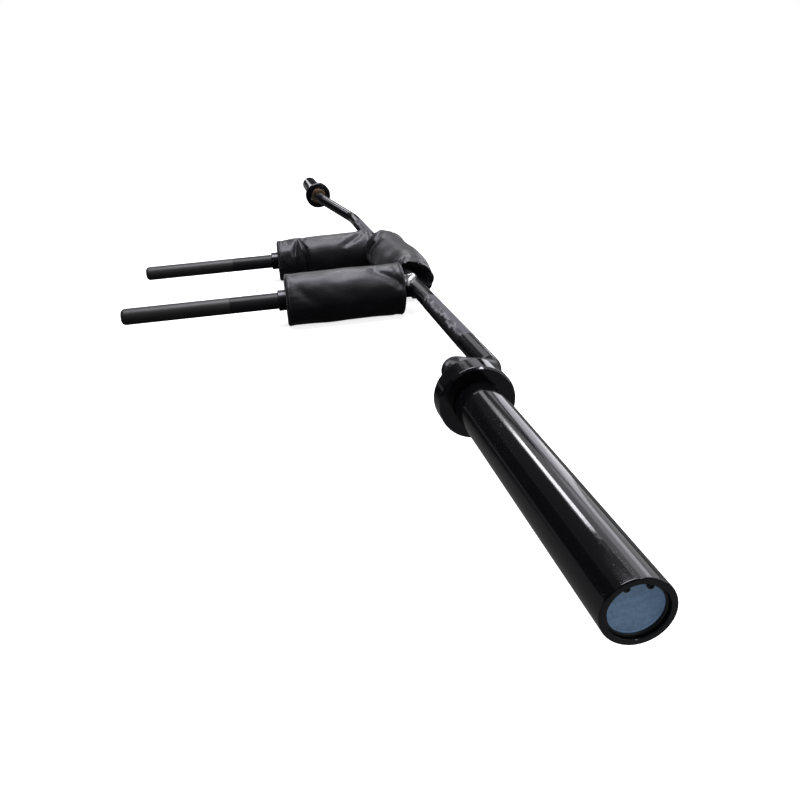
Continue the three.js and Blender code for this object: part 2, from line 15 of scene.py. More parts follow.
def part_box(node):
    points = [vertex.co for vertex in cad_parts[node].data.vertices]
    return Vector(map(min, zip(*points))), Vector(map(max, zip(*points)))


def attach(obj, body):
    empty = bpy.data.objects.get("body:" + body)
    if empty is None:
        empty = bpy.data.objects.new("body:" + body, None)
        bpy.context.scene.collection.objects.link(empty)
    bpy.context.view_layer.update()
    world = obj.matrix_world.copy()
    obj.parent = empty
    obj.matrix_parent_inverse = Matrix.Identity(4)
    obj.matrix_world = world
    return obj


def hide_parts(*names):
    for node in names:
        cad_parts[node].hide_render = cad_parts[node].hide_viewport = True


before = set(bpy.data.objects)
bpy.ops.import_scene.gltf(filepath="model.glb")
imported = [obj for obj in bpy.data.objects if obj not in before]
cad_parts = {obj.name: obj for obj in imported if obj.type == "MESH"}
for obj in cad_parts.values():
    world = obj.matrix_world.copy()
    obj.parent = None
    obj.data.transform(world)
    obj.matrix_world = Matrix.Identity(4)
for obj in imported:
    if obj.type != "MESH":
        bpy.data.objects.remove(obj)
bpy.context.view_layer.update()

log = logging.getLogger("squat_bar")

Shape = bmesh.types.BMesh
Node = bpy.types.Node
Tree = bpy.types.NodeTree
Socket = bpy.types.NodeSocket
Sockets = bpy.types.bpy_prop_collection
Colour = tuple[float, float, float]
Rgba = tuple[float, float, float, float]
Point = tuple[float, float, float]
Value = Union[Socket, float, tuple[float, ...]]

TURN_STEPS = 144
MERGE_DISTANCE = 1e-6
BAR_BODY = "bar"


class Side(Enum):
    """The two ends of the bar; the right one is nearest the camera."""

    RIGHT = 1
    LEFT = -1

    def node(self, name: str) -> str:
        """Names a CAD node or a piece on this side.

        Args:
            name: the name without its side.

        Returns:
            The full name.
        """
        return f"{name}_{self.name.lower()}"


# Shader graphs


class Graph:
    """A node tree that is being wired."""

    def __init__(self, tree: Tree) -> None:
        """Takes over a tree.

        Args:
            tree: the material's, world's or group's tree.
        """
        self.tree = tree

    @classmethod
    def cleared(cls, owner: bpy.types.ID) -> "Graph":
        """Empties an owner's tree.

        Args:
            owner: a material or a world.

        Returns:
            Its graph.
        """
        owner.use_nodes = True
        owner.node_tree.nodes.clear()
        return cls(owner.node_tree)

    def add(self, kind: str, feeds: Optional[dict] = None, **settings: object) -> Node:
        """Adds a node.

        Args:
            kind: its type's name, without ShaderNode before it.
            feeds: what its inputs get, by name or number.
            settings: properties to set on it.

        Returns:
            The node.
        """
        node = self.tree.nodes.new(kind if kind.startswith("Node") else "ShaderNode" + kind)
        for key, setting in settings.items():
            setattr(node, key, setting)
        for key, value in (feeds or {}).items():
            self.feed(node.inputs[key], value)
        return node

    def feed(self, target: Socket, value: Value) -> None:
        """Links an input to a socket, or sets its value.

        Args:
            target: the input.
            value: an output socket, a number or a colour.
        """
        if isinstance(value, Socket):
            self.tree.links.new(value, target)
        else:
            target.default_value = value

    def maths(self, operation: str, *values: Value, clamp: bool = False) -> Socket:
        """Adds a Math node.

        Args:
            operation: such as MULTIPLY.
            values: its inputs.
            clamp: whether its result is kept from 0 to 1.

        Returns:
            Its result.
        """
        return self.add("Math", dict(enumerate(values)), operation=operation, use_clamp=clamp).outputs[0]

    def blend(self, share: Value, first: Value, second: Value) -> Socket:
        """Mixes two colours.

        Args:
            share: how much of the second shows.
            first: the colour at 0.
            second: the colour at 1.

        Returns:
            The mixed colour.
        """
        return self.add("Mix", {0: share, 6: first, 7: second}, data_type="RGBA").outputs[2]

    def spread(self, value: Value, low: float, high: float,
               to_low: float = 0.0, to_high: float = 1.0) -> Socket:
        """Maps a value from one range to another, smoothly.

        Args:
            value: the value to map.
            low: the start of its range.
            high: the end of its range.
            to_low: the result at the start.
            to_high: the result at the end.

        Returns:
            The mapped value.
        """
        feeds = dict(enumerate((value, low, high, to_low, to_high)))
        return self.add("MapRange", feeds, interpolation_type="SMOOTHSTEP").outputs[0]

    def noise(self, vector: Socket, scale: Value, detail: float = 3.0, roughness: float = 0.5) -> Socket:
        """Adds a noise texture.

        Args:
            vector: its coordinates.
            scale: its scale in turns per metre.
            detail: its octaves.
            roughness: how strong the finer octaves are.

        Returns:
            Its value.
        """
        feeds = {"Vector": vector, "Scale": scale, "Detail": detail, "Roughness": roughness}
        return self.add("TexNoise", feeds).outputs[0]

    def bump(self, height: Socket, depth: float, under: Optional[Socket] = None) -> Socket:
        """Adds a bump.

        Args:
            height: the height from 0 to 1.
            depth: what a height of 1 stands for, in metres.
            under: the normal below it.

        Returns:
            The bumped normal.
        """
        feeds = {"Height": height, "Distance": depth}
        if under is not None:
            feeds["Normal"] = under
        return self.add("Bump", feeds).outputs[0]

    def place(self) -> Socket:
        """Adds Object coordinates.

        Returns:
            The coordinates.
        """
        return self.add("TexCoord").outputs["Object"]

    def away(self) -> Socket:
        """Measures how far the surface is from the object's origin.

        Returns:
            The distance.
        """
        return self.add("VectorMath", {0: self.place()}, operation="LENGTH").outputs["Value"]

    def split(self, vector: Socket) -> Sockets:
        """Splits a vector.

        Args:
            vector: the vector.

        Returns:
            Its X, Y and Z.
        """
        return self.add("SeparateXYZ", {0: vector}).outputs


def make_group(name: str, inputs: dict[str, float], outputs: tuple[str, ...], wire: Callable) -> Tree:
    """Makes a node group for an effect that finishes share.

    Args:
        name: the effect's name.
        inputs: its numbers, with their default values; a Vector input comes first.
        outputs: the names of what it gives.
        wire: fills it, from the graph, its inputs by name and its outputs by name.

    Returns:
        The group.
    """
    tree = bpy.data.node_groups.new(name, "ShaderNodeTree")
    tree.interface.new_socket("Vector", in_out="INPUT", socket_type="NodeSocketVector")
    for label, value in inputs.items():
        socket = tree.interface.new_socket(label, in_out="INPUT", socket_type="NodeSocketFloat")
        socket.default_value = value
    for label in outputs:
        tree.interface.new_socket(label, in_out="OUTPUT", socket_type="NodeSocketFloat")
    graph = Graph(tree)
    wire(graph, graph.add("NodeGroupInput").outputs, graph.add("NodeGroupOutput").inputs)
    return tree


def wire_specks(graph: Graph, given: Sockets, result: Sockets) -> None:
    """Makes small round specks and drops most of them: dust and pits.

    Args:
        graph: the group's graph.
        given: its inputs.
        result: its outputs.
    """
    feeds = {label: given[label] for label in ("Vector", "Scale")}
    cells = graph.add("TexVoronoi", feeds, feature="F1").outputs
    chance = graph.add("SeparateColor", {0: cells["Color"]}).outputs
    dot = graph.maths("LESS_THAN", cells["Distance"], graph.maths("MULTIPLY", chance[1], given["Size"]))
    kept = graph.maths("LESS_THAN", chance[0], given["Share"])
    graph.feed(result["Mask"], graph.maths("MULTIPLY", dot, kept))


def wire_haze(graph: Graph, given: Sockets, result: Sockets) -> None:
    """Makes slow patches of handling marks over fine grain.

    Args:
        graph: the group's graph.
        given: its inputs.
        result: its outputs.
    """
    patches = graph.noise(given["Vector"], given["Patches"])
    graph.feed(result["Patch"], graph.spread(patches, 0.35, 0.7))
    graph.feed(result["Grain"], graph.noise(given["Vector"], given["Grain"], detail=2.0))


def wire_weave(graph: Graph, given: Sockets, result: Sockets) -> None:
    """Makes a plain weave: threads that pass over and under each other.

    Args:
        graph: the group's graph.
        given: its inputs.
        result: its outputs.
    """
    along = graph.split(given["Vector"])
    turn = graph.maths("MULTIPLY", given["Threads"], math.pi)
    warp, weft = (graph.maths("SINE", graph.maths("MULTIPLY", along[k], turn)) for k in (0, 1))
    over = graph.maths("MULTIPLY", warp, weft)
    graph.feed(result["Height"], graph.maths("MULTIPLY_ADD", over, 0.5, 0.5))


class Effects:
    """The node groups that finishes share."""

    def __init__(self) -> None:
        """Builds each group once."""
        numbers = {"Scale": 300.0, "Size": 0.3, "Share": 0.1}
        self.specks = make_group("specks", numbers, ("Mask",), wire_specks)
        self.haze = make_group("haze", {"Patches": 12.0, "Grain": 900.0}, ("Patch", "Grain"), wire_haze)
        self.weave = make_group("weave", {"Threads": 1400.0}, ("Height",), wire_weave)


@dataclass(frozen=True)
class Skin:
    """A material while it is wired: its graph, its shader, Object coordinates and the shared effects."""

    graph: Graph
    shader: Node
    place: Socket
    effects: Effects

    def set(self, **values: Value) -> None:
        """Feeds inputs of the shader.

        Args:
            values: what goes in, by the input's name with _ for a space.
        """
        for label, value in values.items():
            self.graph.feed(self.shader.inputs[label.replace("_", " ")], value)

    def effect(self, tree: Tree, vector: Optional[Socket] = None, **values: float) -> Sockets:
        """Places a shared effect.

        Args:
            tree: its group.
            vector: its coordinates, if they aren't Object coordinates.
            values: its numbers by name.

        Returns:
            Its outputs.
        """
        feeds = {"Vector": self.place if vector is None else vector, **values}
        return self.graph.add("Group", feeds, node_tree=tree).outputs


SHEEN_ROUGHNESS = 0.35
PLAIN_GRAIN_DEPTH = 5e-6


@dataclass(frozen=True)
class Finish:
    """A finish: its constant values, and in `wire` what varies over the surface."""

    name: str
    colour: Colour
    roughness: float
    metallic: float = 0.0
    specular: float = 0.5
    sheen: float = 0.0
    tint: Colour = (1.0, 1.0, 1.0)

    @property
    def base(self) -> Rgba:
        """The colour with its alpha.

        Returns:
            The colour.
        """
        return *self.colour, 1.0

    def paler(self, gain: float) -> Rgba:
        """Brightens the colour.

        Args:
            gain: how many times.

        Returns:
            The brighter colour with its alpha.
        """
        red, green, blue = self.colour
        return red * gain, green * gain, blue * gain, 1.0

    def material(self, effects: Effects) -> bpy.types.Material:
        """Builds the material.

        Args:
            effects: the shared groups.

        Returns:
            The material.
        """
        material = bpy.data.materials.new(self.name)
        material.use_nodes = True
        shader = material.node_tree.nodes["Principled BSDF"]
        shader.inputs["Base Color"].default_value = self.base
        shader.inputs["Roughness"].default_value = self.roughness
        shader.inputs["Metallic"].default_value = self.metallic
        shader.inputs["Specular IOR Level"].default_value = self.specular
        shader.inputs["Specular Tint"].default_value = (*self.tint, 1.0)
        shader.inputs["Sheen Weight"].default_value = self.sheen
        shader.inputs["Sheen Roughness"].default_value = SHEEN_ROUGHNESS
        graph = Graph(material.node_tree)
        self.wire(Skin(graph, shader, graph.place(), effects))
        return material

    def wire(self, skin: Skin) -> None:
        """Wires what varies; in a plain finish that is haze alone.

        Args:
            skin: the material.
        """
        haze = skin.effect(skin.effects.haze)
        skin.set(Roughness=skin.graph.spread(haze["Patch"], 0.0, 1.0, self.roughness, self.roughness * 1.3),
                 Normal=skin.graph.bump(haze["Grain"], PLAIN_GRAIN_DEPTH))


@dataclass(frozen=True)
class GlossBlack(Finish):
    """Deep gloss black coating with dust, pits and a faint ripple."""

    dust: Rgba = (0.015, 0.015, 0.017, 1.0)
    dust_scale: float = 1050.0
    dust_size: float = 0.38
    dust_share: float = 0.4
    dust_roughness: float = 0.4
    dusty_scale: float = 14.0
    hazy_roughness: float = 1.8
    ripple: float = 1.5e-5
    pit: float = 12e-5

    def wire(self, skin: Skin) -> None:
        """Wires dust, haze and ripple.

        Args:
            skin: the material.
        """
        graph = skin.graph
        haze = skin.effect(skin.effects.haze, Patches=9.0, Grain=260.0)
        specks = skin.effect(skin.effects.specks, Scale=self.dust_scale, Size=self.dust_size,
                             Share=self.dust_share)
        dusty = graph.spread(graph.noise(skin.place, self.dusty_scale), 0.45, 0.7)
        dust = graph.maths("MULTIPLY", specks["Mask"], dusty)
        smooth = graph.spread(haze["Patch"], 0.0, 1.0, self.roughness, self.roughness * self.hazy_roughness)
        rough = graph.maths("ADD", smooth, graph.maths("MULTIPLY", dust, self.dust_roughness))
        ripple = graph.bump(haze["Grain"], self.ripple)
        skin.set(Base_Color=graph.blend(dust, self.base, self.dust), Roughness=rough,
                 Normal=graph.bump(specks["Mask"], self.pit, ripple))


@dataclass(frozen=True)
class WeldWithPaintedGlints(Finish):
    """Black weld bead with painted glints: silver metallic patches along its top only, where the light falls.
    """

    glint_tone: Rgba = (0.85, 0.84, 0.86, 1.0)
    glint_roughness: float = 0.38
    glint_heights: tuple[float, float] = (0.057, 0.066)
    patch_scale: float = 170.0
    spatter_scale: float = 420.0
    spatter_depth: float = 4e-4

    def wire(self, skin: Skin) -> None:
        """Wires the painted glint patches on the top, and the spatter.

        Args:
            skin: the material.
        """
        graph = skin.graph
        # Painted glints: silver metallic patches only where the weld's top catches the light.
        top = graph.spread(graph.split(skin.place)[2], *self.glint_heights)
        patches = graph.noise(skin.place, self.patch_scale, detail=4.0, roughness=0.7)
        painted_light = graph.maths("MULTIPLY", graph.spread(patches, 0.40, 0.50), top)
        skin.set(Base_Color=graph.blend(painted_light, self.base, self.glint_tone), Metallic=painted_light,
                 Roughness=graph.spread(painted_light, 0.0, 1.0, self.roughness, self.glint_roughness),
                 Normal=graph.bump(graph.noise(skin.place, self.spatter_scale), self.spatter_depth))


@dataclass(frozen=True)
class KnurlWithPaintedSheen(Finish):
    """Black knurling with a painted sheen: grey painted along its upper rear side, the side the lamps light,
    down to an uneven, paler painted edge.
    """

    painted_sheen: Rgba = (0.085, 0.083, 0.096, 1.0)
    painted_sheen_edge: Rgba = (0.42, 0.41, 0.44, 1.0)
    painted_sheen_metallic: float = 0.3
    painted_sheen_roughness: float = 0.5
    middle: Point = (0.0, 0.25425, 0.053)
    lit_side: Point = (0.0, 0.62, 0.78)
    ragged: float = 0.026
    ragged_scale: float = 50.0
    blotch_scale: float = 180.0

    def wire(self, skin: Skin) -> None:
        """Wires the painted sheen on the lit upper rear side and its paler painted edge.

        Args:
            skin: the material.
        """
        graph = skin.graph
        grain = skin.effect(skin.effects.haze, Patches=38.0, Grain=620.0)["Grain"]
        arm = graph.add("VectorMath", {0: skin.place, 1: self.middle}, operation="SUBTRACT").outputs[0]
        level = graph.add("VectorMath", {0: arm, 1: self.lit_side}, operation="DOT_PRODUCT")
        height = level.outputs["Value"]
        wander = graph.noise(skin.place, self.ragged_scale, detail=4.0, roughness=0.65)
        edge = graph.maths("ADD", height, graph.maths("MULTIPLY_ADD", wander, self.ragged, -self.ragged / 2))
        # Painted highlight: the part facing the lit side, where the light falls, is painted grey and a little
        # metallic.
        painted_light = graph.spread(edge, -0.0002, 0.0006)
        painted_sheen_share = graph.maths("MULTIPLY", painted_light, graph.spread(grain, 0.4, 0.6, 0.5, 1.0))
        blotches = graph.spread(graph.noise(skin.place, self.blotch_scale), 0.35, 0.6, 0.15, 1.0)
        # Painted highlight edge: a paler grey painted in blotches along the lower edge of the lit band.
        rim = graph.maths("MULTIPLY", graph.spread(edge, 0.0015, 0.0085, 1.0, 0.0), blotches)
        tone = graph.blend(rim, self.painted_sheen, self.painted_sheen_edge)
        skin.set(Base_Color=graph.blend(painted_sheen_share, self.base, tone),
                 Metallic=graph.maths("MULTIPLY", painted_sheen_share, self.painted_sheen_metallic),
                 Roughness=graph.spread(grain, 0.3, 0.7, self.roughness, self.painted_sheen_roughness))


@dataclass(frozen=True)
class MattRubber(Finish):
    """Charcoal grip rubber with a fine moulded grain."""

    grain_depth: float = 6e-5

    def wire(self, skin: Skin) -> None:
        """Wires the grain and slow changes of tone.

        Args:
            skin: the material.
        """
        graph = skin.graph
        haze = skin.effect(skin.effects.haze, Patches=16.0, Grain=2600.0)
        skin.set(Base_Color=graph.blend(haze["Patch"], self.base, self.paler(1.25)),
                 Roughness=graph.spread(haze["Grain"], 0.3, 0.7, self.roughness * 0.9, self.roughness),
                 Normal=graph.bump(haze["Grain"], self.grain_depth))


CLOTH_UV = "cloth"


@dataclass(frozen=True)
class CoatedCloth(Finish):
    """Coated black cloth: a fine weave, soft creases and a pale sheen."""

    threads: float = 1500.0
    thread_depth: float = 4e-5
    crease_scale: float = 130.0
    crease_depth: float = 2.5e-4

    def wire(self, skin: Skin) -> None:
        """Wires the weave on the piece's own UV map, and the rest on Object coordinates.

        Args:
            skin: the material.
        """
        graph = skin.graph
        cloth = graph.add("UVMap", uv_map=CLOTH_UV).outputs[0]
        weave = skin.effect(skin.effects.weave, cloth, Threads=self.threads)["Height"]
        patch = skin.effect(skin.effects.haze, Patches=20.0, Grain=500.0)["Patch"]
        creases = graph.bump(graph.noise(skin.place, self.crease_scale, detail=4.0), self.crease_depth)
        skin.set(Base_Color=graph.blend(patch, self.base, self.paler(1.5)),
                 Roughness=graph.spread(patch, 0.0, 1.0, self.roughness, self.roughness * 0.9),
                 Normal=graph.bump(weave, self.thread_depth, creases))


@dataclass(frozen=True)
class DiscPaint(Finish):
    """The end cap's blue face, a little cloudy."""

    cloud_scale: float = 260.0
    grain_scale: float = 1200.0
    grain_depth: float = 2e-5

    def wire(self, skin: Skin) -> None:
        """Wires the cloudy tone.

        Args:
            skin: the material.
        """
        graph = skin.graph
        cloud = graph.spread(graph.noise(skin.place, self.cloud_scale, detail=5.0, roughness=0.7), 0.3, 0.7)
        skin.set(Base_Color=graph.blend(cloud, self.base, self.paler(1.35)),
                 Normal=graph.bump(graph.noise(skin.place, self.grain_scale), self.grain_depth))


@dataclass
class Finishes:
    """Every material of the bar, built once."""

    effects: Effects = field(default_factory=Effects)
    made: dict[str, bpy.types.Material] = field(default_factory=dict)

    def get(self, finish: Finish) -> bpy.types.Material:
        """Gives a finish's material, built on first use.

        Args:
            finish: the finish.

        Returns:
            Its material.
        """
        if finish.name not in self.made:
            self.made[finish.name] = finish.material(self.effects)
        return self.made[finish.name]


LAVENDER = (0.93, 0.92, 1.0)
SLEEVE_BLACK = GlossBlack("sleeve_black", (0.003, 0.003, 0.004), 0.07, specular=0.6, tint=LAVENDER)
SHAFT_BLACK = GlossBlack("shaft_black", (0.004, 0.004, 0.005), 0.17, specular=0.6, tint=LAVENDER,
                         dust_share=0.3)
KNURL_BLACK = KnurlWithPaintedSheen("knurl_black", (0.010, 0.010, 0.012), 0.42, specular=0.45, tint=LAVENDER)
WELD_BLACK = WeldWithPaintedGlints("weld_black", (0.01, 0.01, 0.011), 0.3)
ROD_BLACK = Finish("rod_black", (0.012, 0.012, 0.014), 0.34, specular=0.25)
GRIP_RUBBER = MattRubber("grip_rubber", (0.019, 0.0185, 0.019), 0.47, specular=0.48)
COVER_CLOTH = CoatedCloth("cover_cloth", (0.008, 0.008, 0.0095), 0.4, specular=0.45, sheen=0.12,
                          tint=LAVENDER)
THREAD = Finish("thread", (0.05, 0.05, 0.054), 0.5)
TAPE = Finish("closure_tape", (0.007, 0.007, 0.008), 0.6, specular=0.3)
BRONZE = Finish("bronze", (0.55, 0.38, 0.22), 0.32, metallic=1.0)
CAP_BLUE = DiscPaint("cap_blue", (0.26, 0.42, 0.64), 0.4)
SPRING_STEEL = Finish("spring_steel", (0.008, 0.008, 0.009), 0.32)


# Making pieces


def clamped(share: float) -> float:
    """Keeps a share from 0 to 1.

    Args:
        share: the share.

    Returns:
        The share, kept in.
    """
    return min(max(share, 0.0), 1.0)


def half_width(node: str, axis: str) -> float:
    """Half of a CAD node's width: a round piece's radius.

    Args:
        node: the node's name.
        axis: y or z.

    Returns:
        The half width.
    """
    low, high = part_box(node)
    return (getattr(high, axis) - getattr(low, axis)) / 2


def linked(name: str, data: bpy.types.ID) -> bpy.types.Object:
    """Puts a mesh, a lamp or a camera in the scene.

    Args:
        name: the object's name.
        data: what it holds.

    Returns:
        The object.
    """
    made = bpy.data.objects.new(name, data)
    bpy.context.scene.collection.objects.link(made)
    return made


def new_object(name: str, shape: Shape) -> bpy.types.Object:
    """Turns a shape into an object in the scene.

    Args:
        name: the object's name.
        shape: its mesh; it is freed.

    Returns:
        The object.
    """
    mesh = bpy.data.meshes.new(name)
    shape.to_mesh(mesh)
    shape.free()
    return linked(name, mesh)


def add_piece(name: str, shape: Shape, finish: bpy.types.Material,
              body: str, replaces: Iterable[str] = ()) -> bpy.types.Object:
    """Turns a finished shape into a piece that rides on a body.

    Args:
        name: the piece's name.
        shape: its mesh, in the object's own frame; it is freed.
        finish: its material.
        body: the CAD body that it moves with.
        replaces: the CAD nodes that it stands for.

    Returns:
        The piece.
    """
    piece = new_object(name, shape)
    finish_piece(piece, finish, body, replaces)
    return piece


def finish_piece(piece: bpy.types.Object, finish: bpy.types.Material, body: str,
                 replaces: Iterable[str] = ()) -> None:
    """Dresses a piece, attaches it to its body and hides the CAD nodes that it stands for.
    """
    piece.data.polygons.foreach_set("use_smooth", [True] * len(piece.data.polygons))
    piece.data.materials.clear()
    piece.data.materials.append(finish)
    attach(piece, body)
    nodes = list(replaces)
    if nodes:
        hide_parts(*nodes)
    log.info("%s: %d faces, on %s", piece.name, len(piece.data.polygons), body)


def keep_flats(piece: bpy.types.Object) -> None:
    """Makes a turned piece's flat faces shade flat beside its rounded edges.

    Args:
        piece: the object.
    """
    normals = piece.modifiers.new("flats", "WEIGHTED_NORMAL")
    normals.mode = "FACE_AREA"
    normals.weight = 100


@dataclass(frozen=True)
class Corner:
    """A corner of a turned piece's profile: its radius, its place along the axis and its rounding."""

    radius: float
    place: float
    rounding: float = 0.0


ROUNDING_SEGMENTS = 4


def turned(corners: Iterable[Corner], steps: int = TURN_STEPS, closed: bool = True) -> Shape:
    """Turns a profile about the X axis.

    Args:
        corners: the profile.
        steps: how many steps go round.
        closed: whether the last corner joins the first; an open profile starts and ends on the axis.

    Returns:
        The shape, with its axis on X.
    """
    corners = list(corners)
    shape = bmesh.new()
    points = [shape.verts.new((c.place, 0.0, c.radius)) for c in corners]
    pairs = list(zip(points, points[1:]))
    if closed:
        pairs.append((points[-1], points[0]))
    for pair in pairs:
        shape.edges.new(pair)
    for size in sorted({c.rounding for c in corners if c.rounding}):
        chosen = [p for p, c in zip(points, corners) if c.rounding == size]
        bmesh.ops.bevel(shape, geom=chosen, offset=size, offset_type="OFFSET", segments=ROUNDING_SEGMENTS,
                        profile=0.5, affect="VERTICES", material=-1)
    bmesh.ops.spin(shape, geom=shape.verts[:] + shape.edges[:], cent=(0, 0, 0), axis=(1, 0, 0),
                   dvec=(0, 0, 0), angle=2 * math.pi, steps=steps, use_merge=True, use_duplicate=False)
    tidy(shape)
    return shape


def tidy(shape: Shape) -> None:
    """Merges a shape's doubles and turns its faces outwards.

    Args:
        shape: the mesh.
    """
    bmesh.ops.remove_doubles(shape, verts=shape.verts, dist=MERGE_DISTANCE)
    bmesh.ops.dissolve_degenerate(shape, edges=shape.edges, dist=MERGE_DISTANCE)
    bmesh.ops.recalc_face_normals(shape, faces=shape.faces)


def move(shape: Shape, matrix: Matrix) -> Shape:
    """Places a shape.

    Args:
        shape: the mesh.
        matrix: where it goes.

    Returns:
        The same mesh.
    """
    bmesh.ops.transform(shape, matrix=matrix, verts=shape.verts)
    return shape


def lathed(matrix: Matrix, *corners: Corner, closed: bool = True) -> Shape:
    """Turns a profile and places it.

    Args:
        matrix: where it goes.
        corners: the profile.
        closed: whether the last corner joins the first.

    Returns:
        The shape.
    """
    return move(turned(corners, closed=closed), matrix)


def joined(*shapes: Shape) -> Shape:
    """Gathers several shapes in one.

    Args:
        shapes: the meshes; all but the first are freed.

    Returns:
        The first, holding them all.
    """
    first = shapes[0]
    for other in shapes[1:]:
        mesh = bpy.data.meshes.new("part")
        other.to_mesh(mesh)
        other.free()
        first.from_mesh(mesh)
        bpy.data.meshes.remove(mesh)
    return first


def middle(node: str) -> Vector:
    """The middle of a CAD node's box.

    Args:
        node: the node's name.

    Returns:
        The point.
    """
    low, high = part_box(node)
    return (low + high) / 2


# Bent shaft


@dataclass
class Shaft:
    """The one-piece bent shaft, with a knurled band on each side."""

    finishes: Finishes
    radius: float = 0.01475
    journal_radius: float = 0.013
    bend_radius: float = 0.048
    corner_setback: float = 0.067
    bend_run: float = 0.102
    bend_steps: int = 28
    knurl_start: float = 0.295
    knurl_end: float = 0.503
    knurl_pitch: float = 0.0016
    knurl_height: float = 0.00035
    knurl_depth: float = 0.0004

    def __post_init__(self) -> None:
        """Reads the shaft's axes from the frame."""
        low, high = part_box("shaft")
        self.axis = Vector((0.0, high.y - self.radius, low.z + self.radius))
        self.sleeve_axis = middle("sleeve_tube_right")
        self.sleeve_axis.x = 0.0
        self.collar_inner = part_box("collar_right")[0].x
        self.bushing_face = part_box("inner_bushing_right")[0].x
        self.tip = high.x

    def build(self) -> None:
        """Builds the shaft and its knurled bands."""
        finish = self.finishes.get(SHAFT_BLACK)
        add_piece("bent_shaft", self.bar(), finish, BAR_BODY, ["shaft"])
        for side in Side:
            band = self.knurl(side)
            add_piece(side.node("knurl"), band, self.finishes.get(KNURL_BLACK), BAR_BODY)

    def bar(self) -> Shape:
        """Extrudes and spins a circle along one half of the bar, then mirrors it.

        Returns:
            The shape.
        """
        outer = self.collar_inner - self.corner_setback
        centre = outer - self.bend_run
        corners = [start + Vector((x, 0, 0)) for start, x in (
            (self.axis, 0), (self.axis, centre), (self.sleeve_axis, outer),
            (self.sleeve_axis, self.bushing_face))]
        shape = bmesh.new()
        bmesh.ops.create_circle(shape, cap_ends=False, radius=self.radius, segments=TURN_STEPS,
                                matrix=Matrix.Translation(self.axis) @ Matrix.Rotation(math.pi / 2, 4, "Y"))
        loop = list(shape.edges)
        reach = corners[0]
        for i in (1, 2):
            back = (corners[i - 1] - corners[i]).normalized()
            ahead = (corners[i + 1] - corners[i]).normalized()
            turn = math.pi - back.angle(ahead)
            start = corners[i] + back * self.bend_radius * math.tan(turn / 2)
            hub = corners[i] + (back + ahead).normalized() * self.bend_radius / math.cos(turn / 2)
            loop = self.extruded(shape, loop, start - reach)
            loop = self.spun(shape, loop, hub, (-back).cross(ahead).normalized(), turn)
            reach = corners[i] + ahead * self.bend_radius * math.tan(turn / 2)
        loop = self.extruded(shape, loop, corners[3] - reach)
        loop = self.extruded(shape, loop, Vector((0, 0, 0)))
        verts = {v for e in loop for v in e.verts}
        share = self.journal_radius / self.radius
        bmesh.ops.scale(shape, vec=(1, share, share), verts=list(verts),
                        space=Matrix.Translation(-corners[3]))
        loop = self.extruded(shape, loop, Vector((self.tip - corners[3].x, 0, 0)))
        bmesh.ops.contextual_create(shape, geom=loop)
        bmesh.ops.mirror(shape, geom=shape.verts[:] + shape.edges[:] + shape.faces[:],
                         matrix=Matrix.Identity(4), merge_dist=MERGE_DISTANCE, axis="X")
        tidy(shape)
        return shape

    @staticmethod
    def extruded(shape: Shape, loop: list, step: Vector) -> list:
        """Extrudes an edge loop straight.

        Args:
            shape: the mesh.
            loop: the loop's edges.
            step: how far.

        Returns:
            The new loop's edges.
        """
        made = bmesh.ops.extrude_edge_only(shape, edges=loop)["geom"]
        bmesh.ops.translate(shape, verts=[g for g in made if isinstance(g, bmesh.types.BMVert)], vec=step)
        return [g for g in made if isinstance(g, bmesh.types.BMEdge)
                and all(v in made for v in g.verts)]

    def spun(self, shape: Shape, loop: list, hub: Vector, axis: Vector, turn: float) -> list:
        """Spins an edge loop round a bend.

        Args:
            shape: the mesh.
            loop: the loop's edges.
            hub: the bend's centre.
            axis: the bend's axis.
            turn: its angle.

        Returns:
            The last loop's edges.
        """
        verts = list({v for e in loop for v in e.verts})
        made = bmesh.ops.spin(shape, geom=verts + loop, cent=hub, axis=axis, dvec=(0, 0, 0), angle=turn,
                              steps=self.bend_steps, use_merge=False, use_duplicate=False)["geom_last"]
        return [g for g in made if isinstance(g, bmesh.types.BMEdge)]

    def knurl(self, side: Side) -> Shape:
        """Wraps a grid of small pyramids round the shaft.

        Args:
            side: which end of the bar.

        Returns:
            The band's shape, closed by an inner wall.
        """
        around = 2 * round(math.pi * self.radius / self.knurl_pitch)
        along = 2 * round((self.knurl_end - self.knurl_start) / self.knurl_pitch)
        length = self.knurl_end - self.knurl_start
        shape = bmesh.new()
        bmesh.ops.create_grid(shape, x_segments=along, y_segments=around, size=0.5)
        low = set()
        for vert in shape.verts:
            i, j = round((vert.co.x + 0.5) * along), round((vert.co.y + 0.5) * around)
            edge = i in (0, along)
            raised = (i + j) % 2 == 0 and not edge
            radius = self.radius + (self.knurl_height if raised else MERGE_DISTANCE)
            angle = 2 * math.pi * j / around
            x = side.value * (self.knurl_start + length * i / along)
            vert.co = (x, self.axis.y + radius * math.cos(angle), self.axis.z + radius * math.sin(angle))
            if not raised:
                low.add(vert)
        for face in list(shape.faces):
            pair = [v for v in face.verts if v in low]
            if len(pair) == 2:
                bmesh.utils.face_split(face, pair[0], pair[1])
        bmesh.ops.remove_doubles(shape, verts=shape.verts, dist=MERGE_DISTANCE)
        rim = [e for e in shape.edges if e.is_boundary]
        made = bmesh.ops.extrude_edge_only(shape, edges=rim)["geom"]
        share = (self.radius - self.knurl_depth) / self.radius
        inner = [g for g in made if isinstance(g, bmesh.types.BMVert)]
        bmesh.ops.scale(shape, vec=(1, share, share), verts=inner, space=Matrix.Translation(-self.axis))
        bmesh.ops.bridge_loops(shape, edges=[e for e in shape.edges if e.is_boundary])
        bmesh.ops.recalc_face_normals(shape, faces=shape.faces)
        return shape


# Handles


ARM_RADIUS = 0.020
ROD_NECK_RADIUS = 0.0135


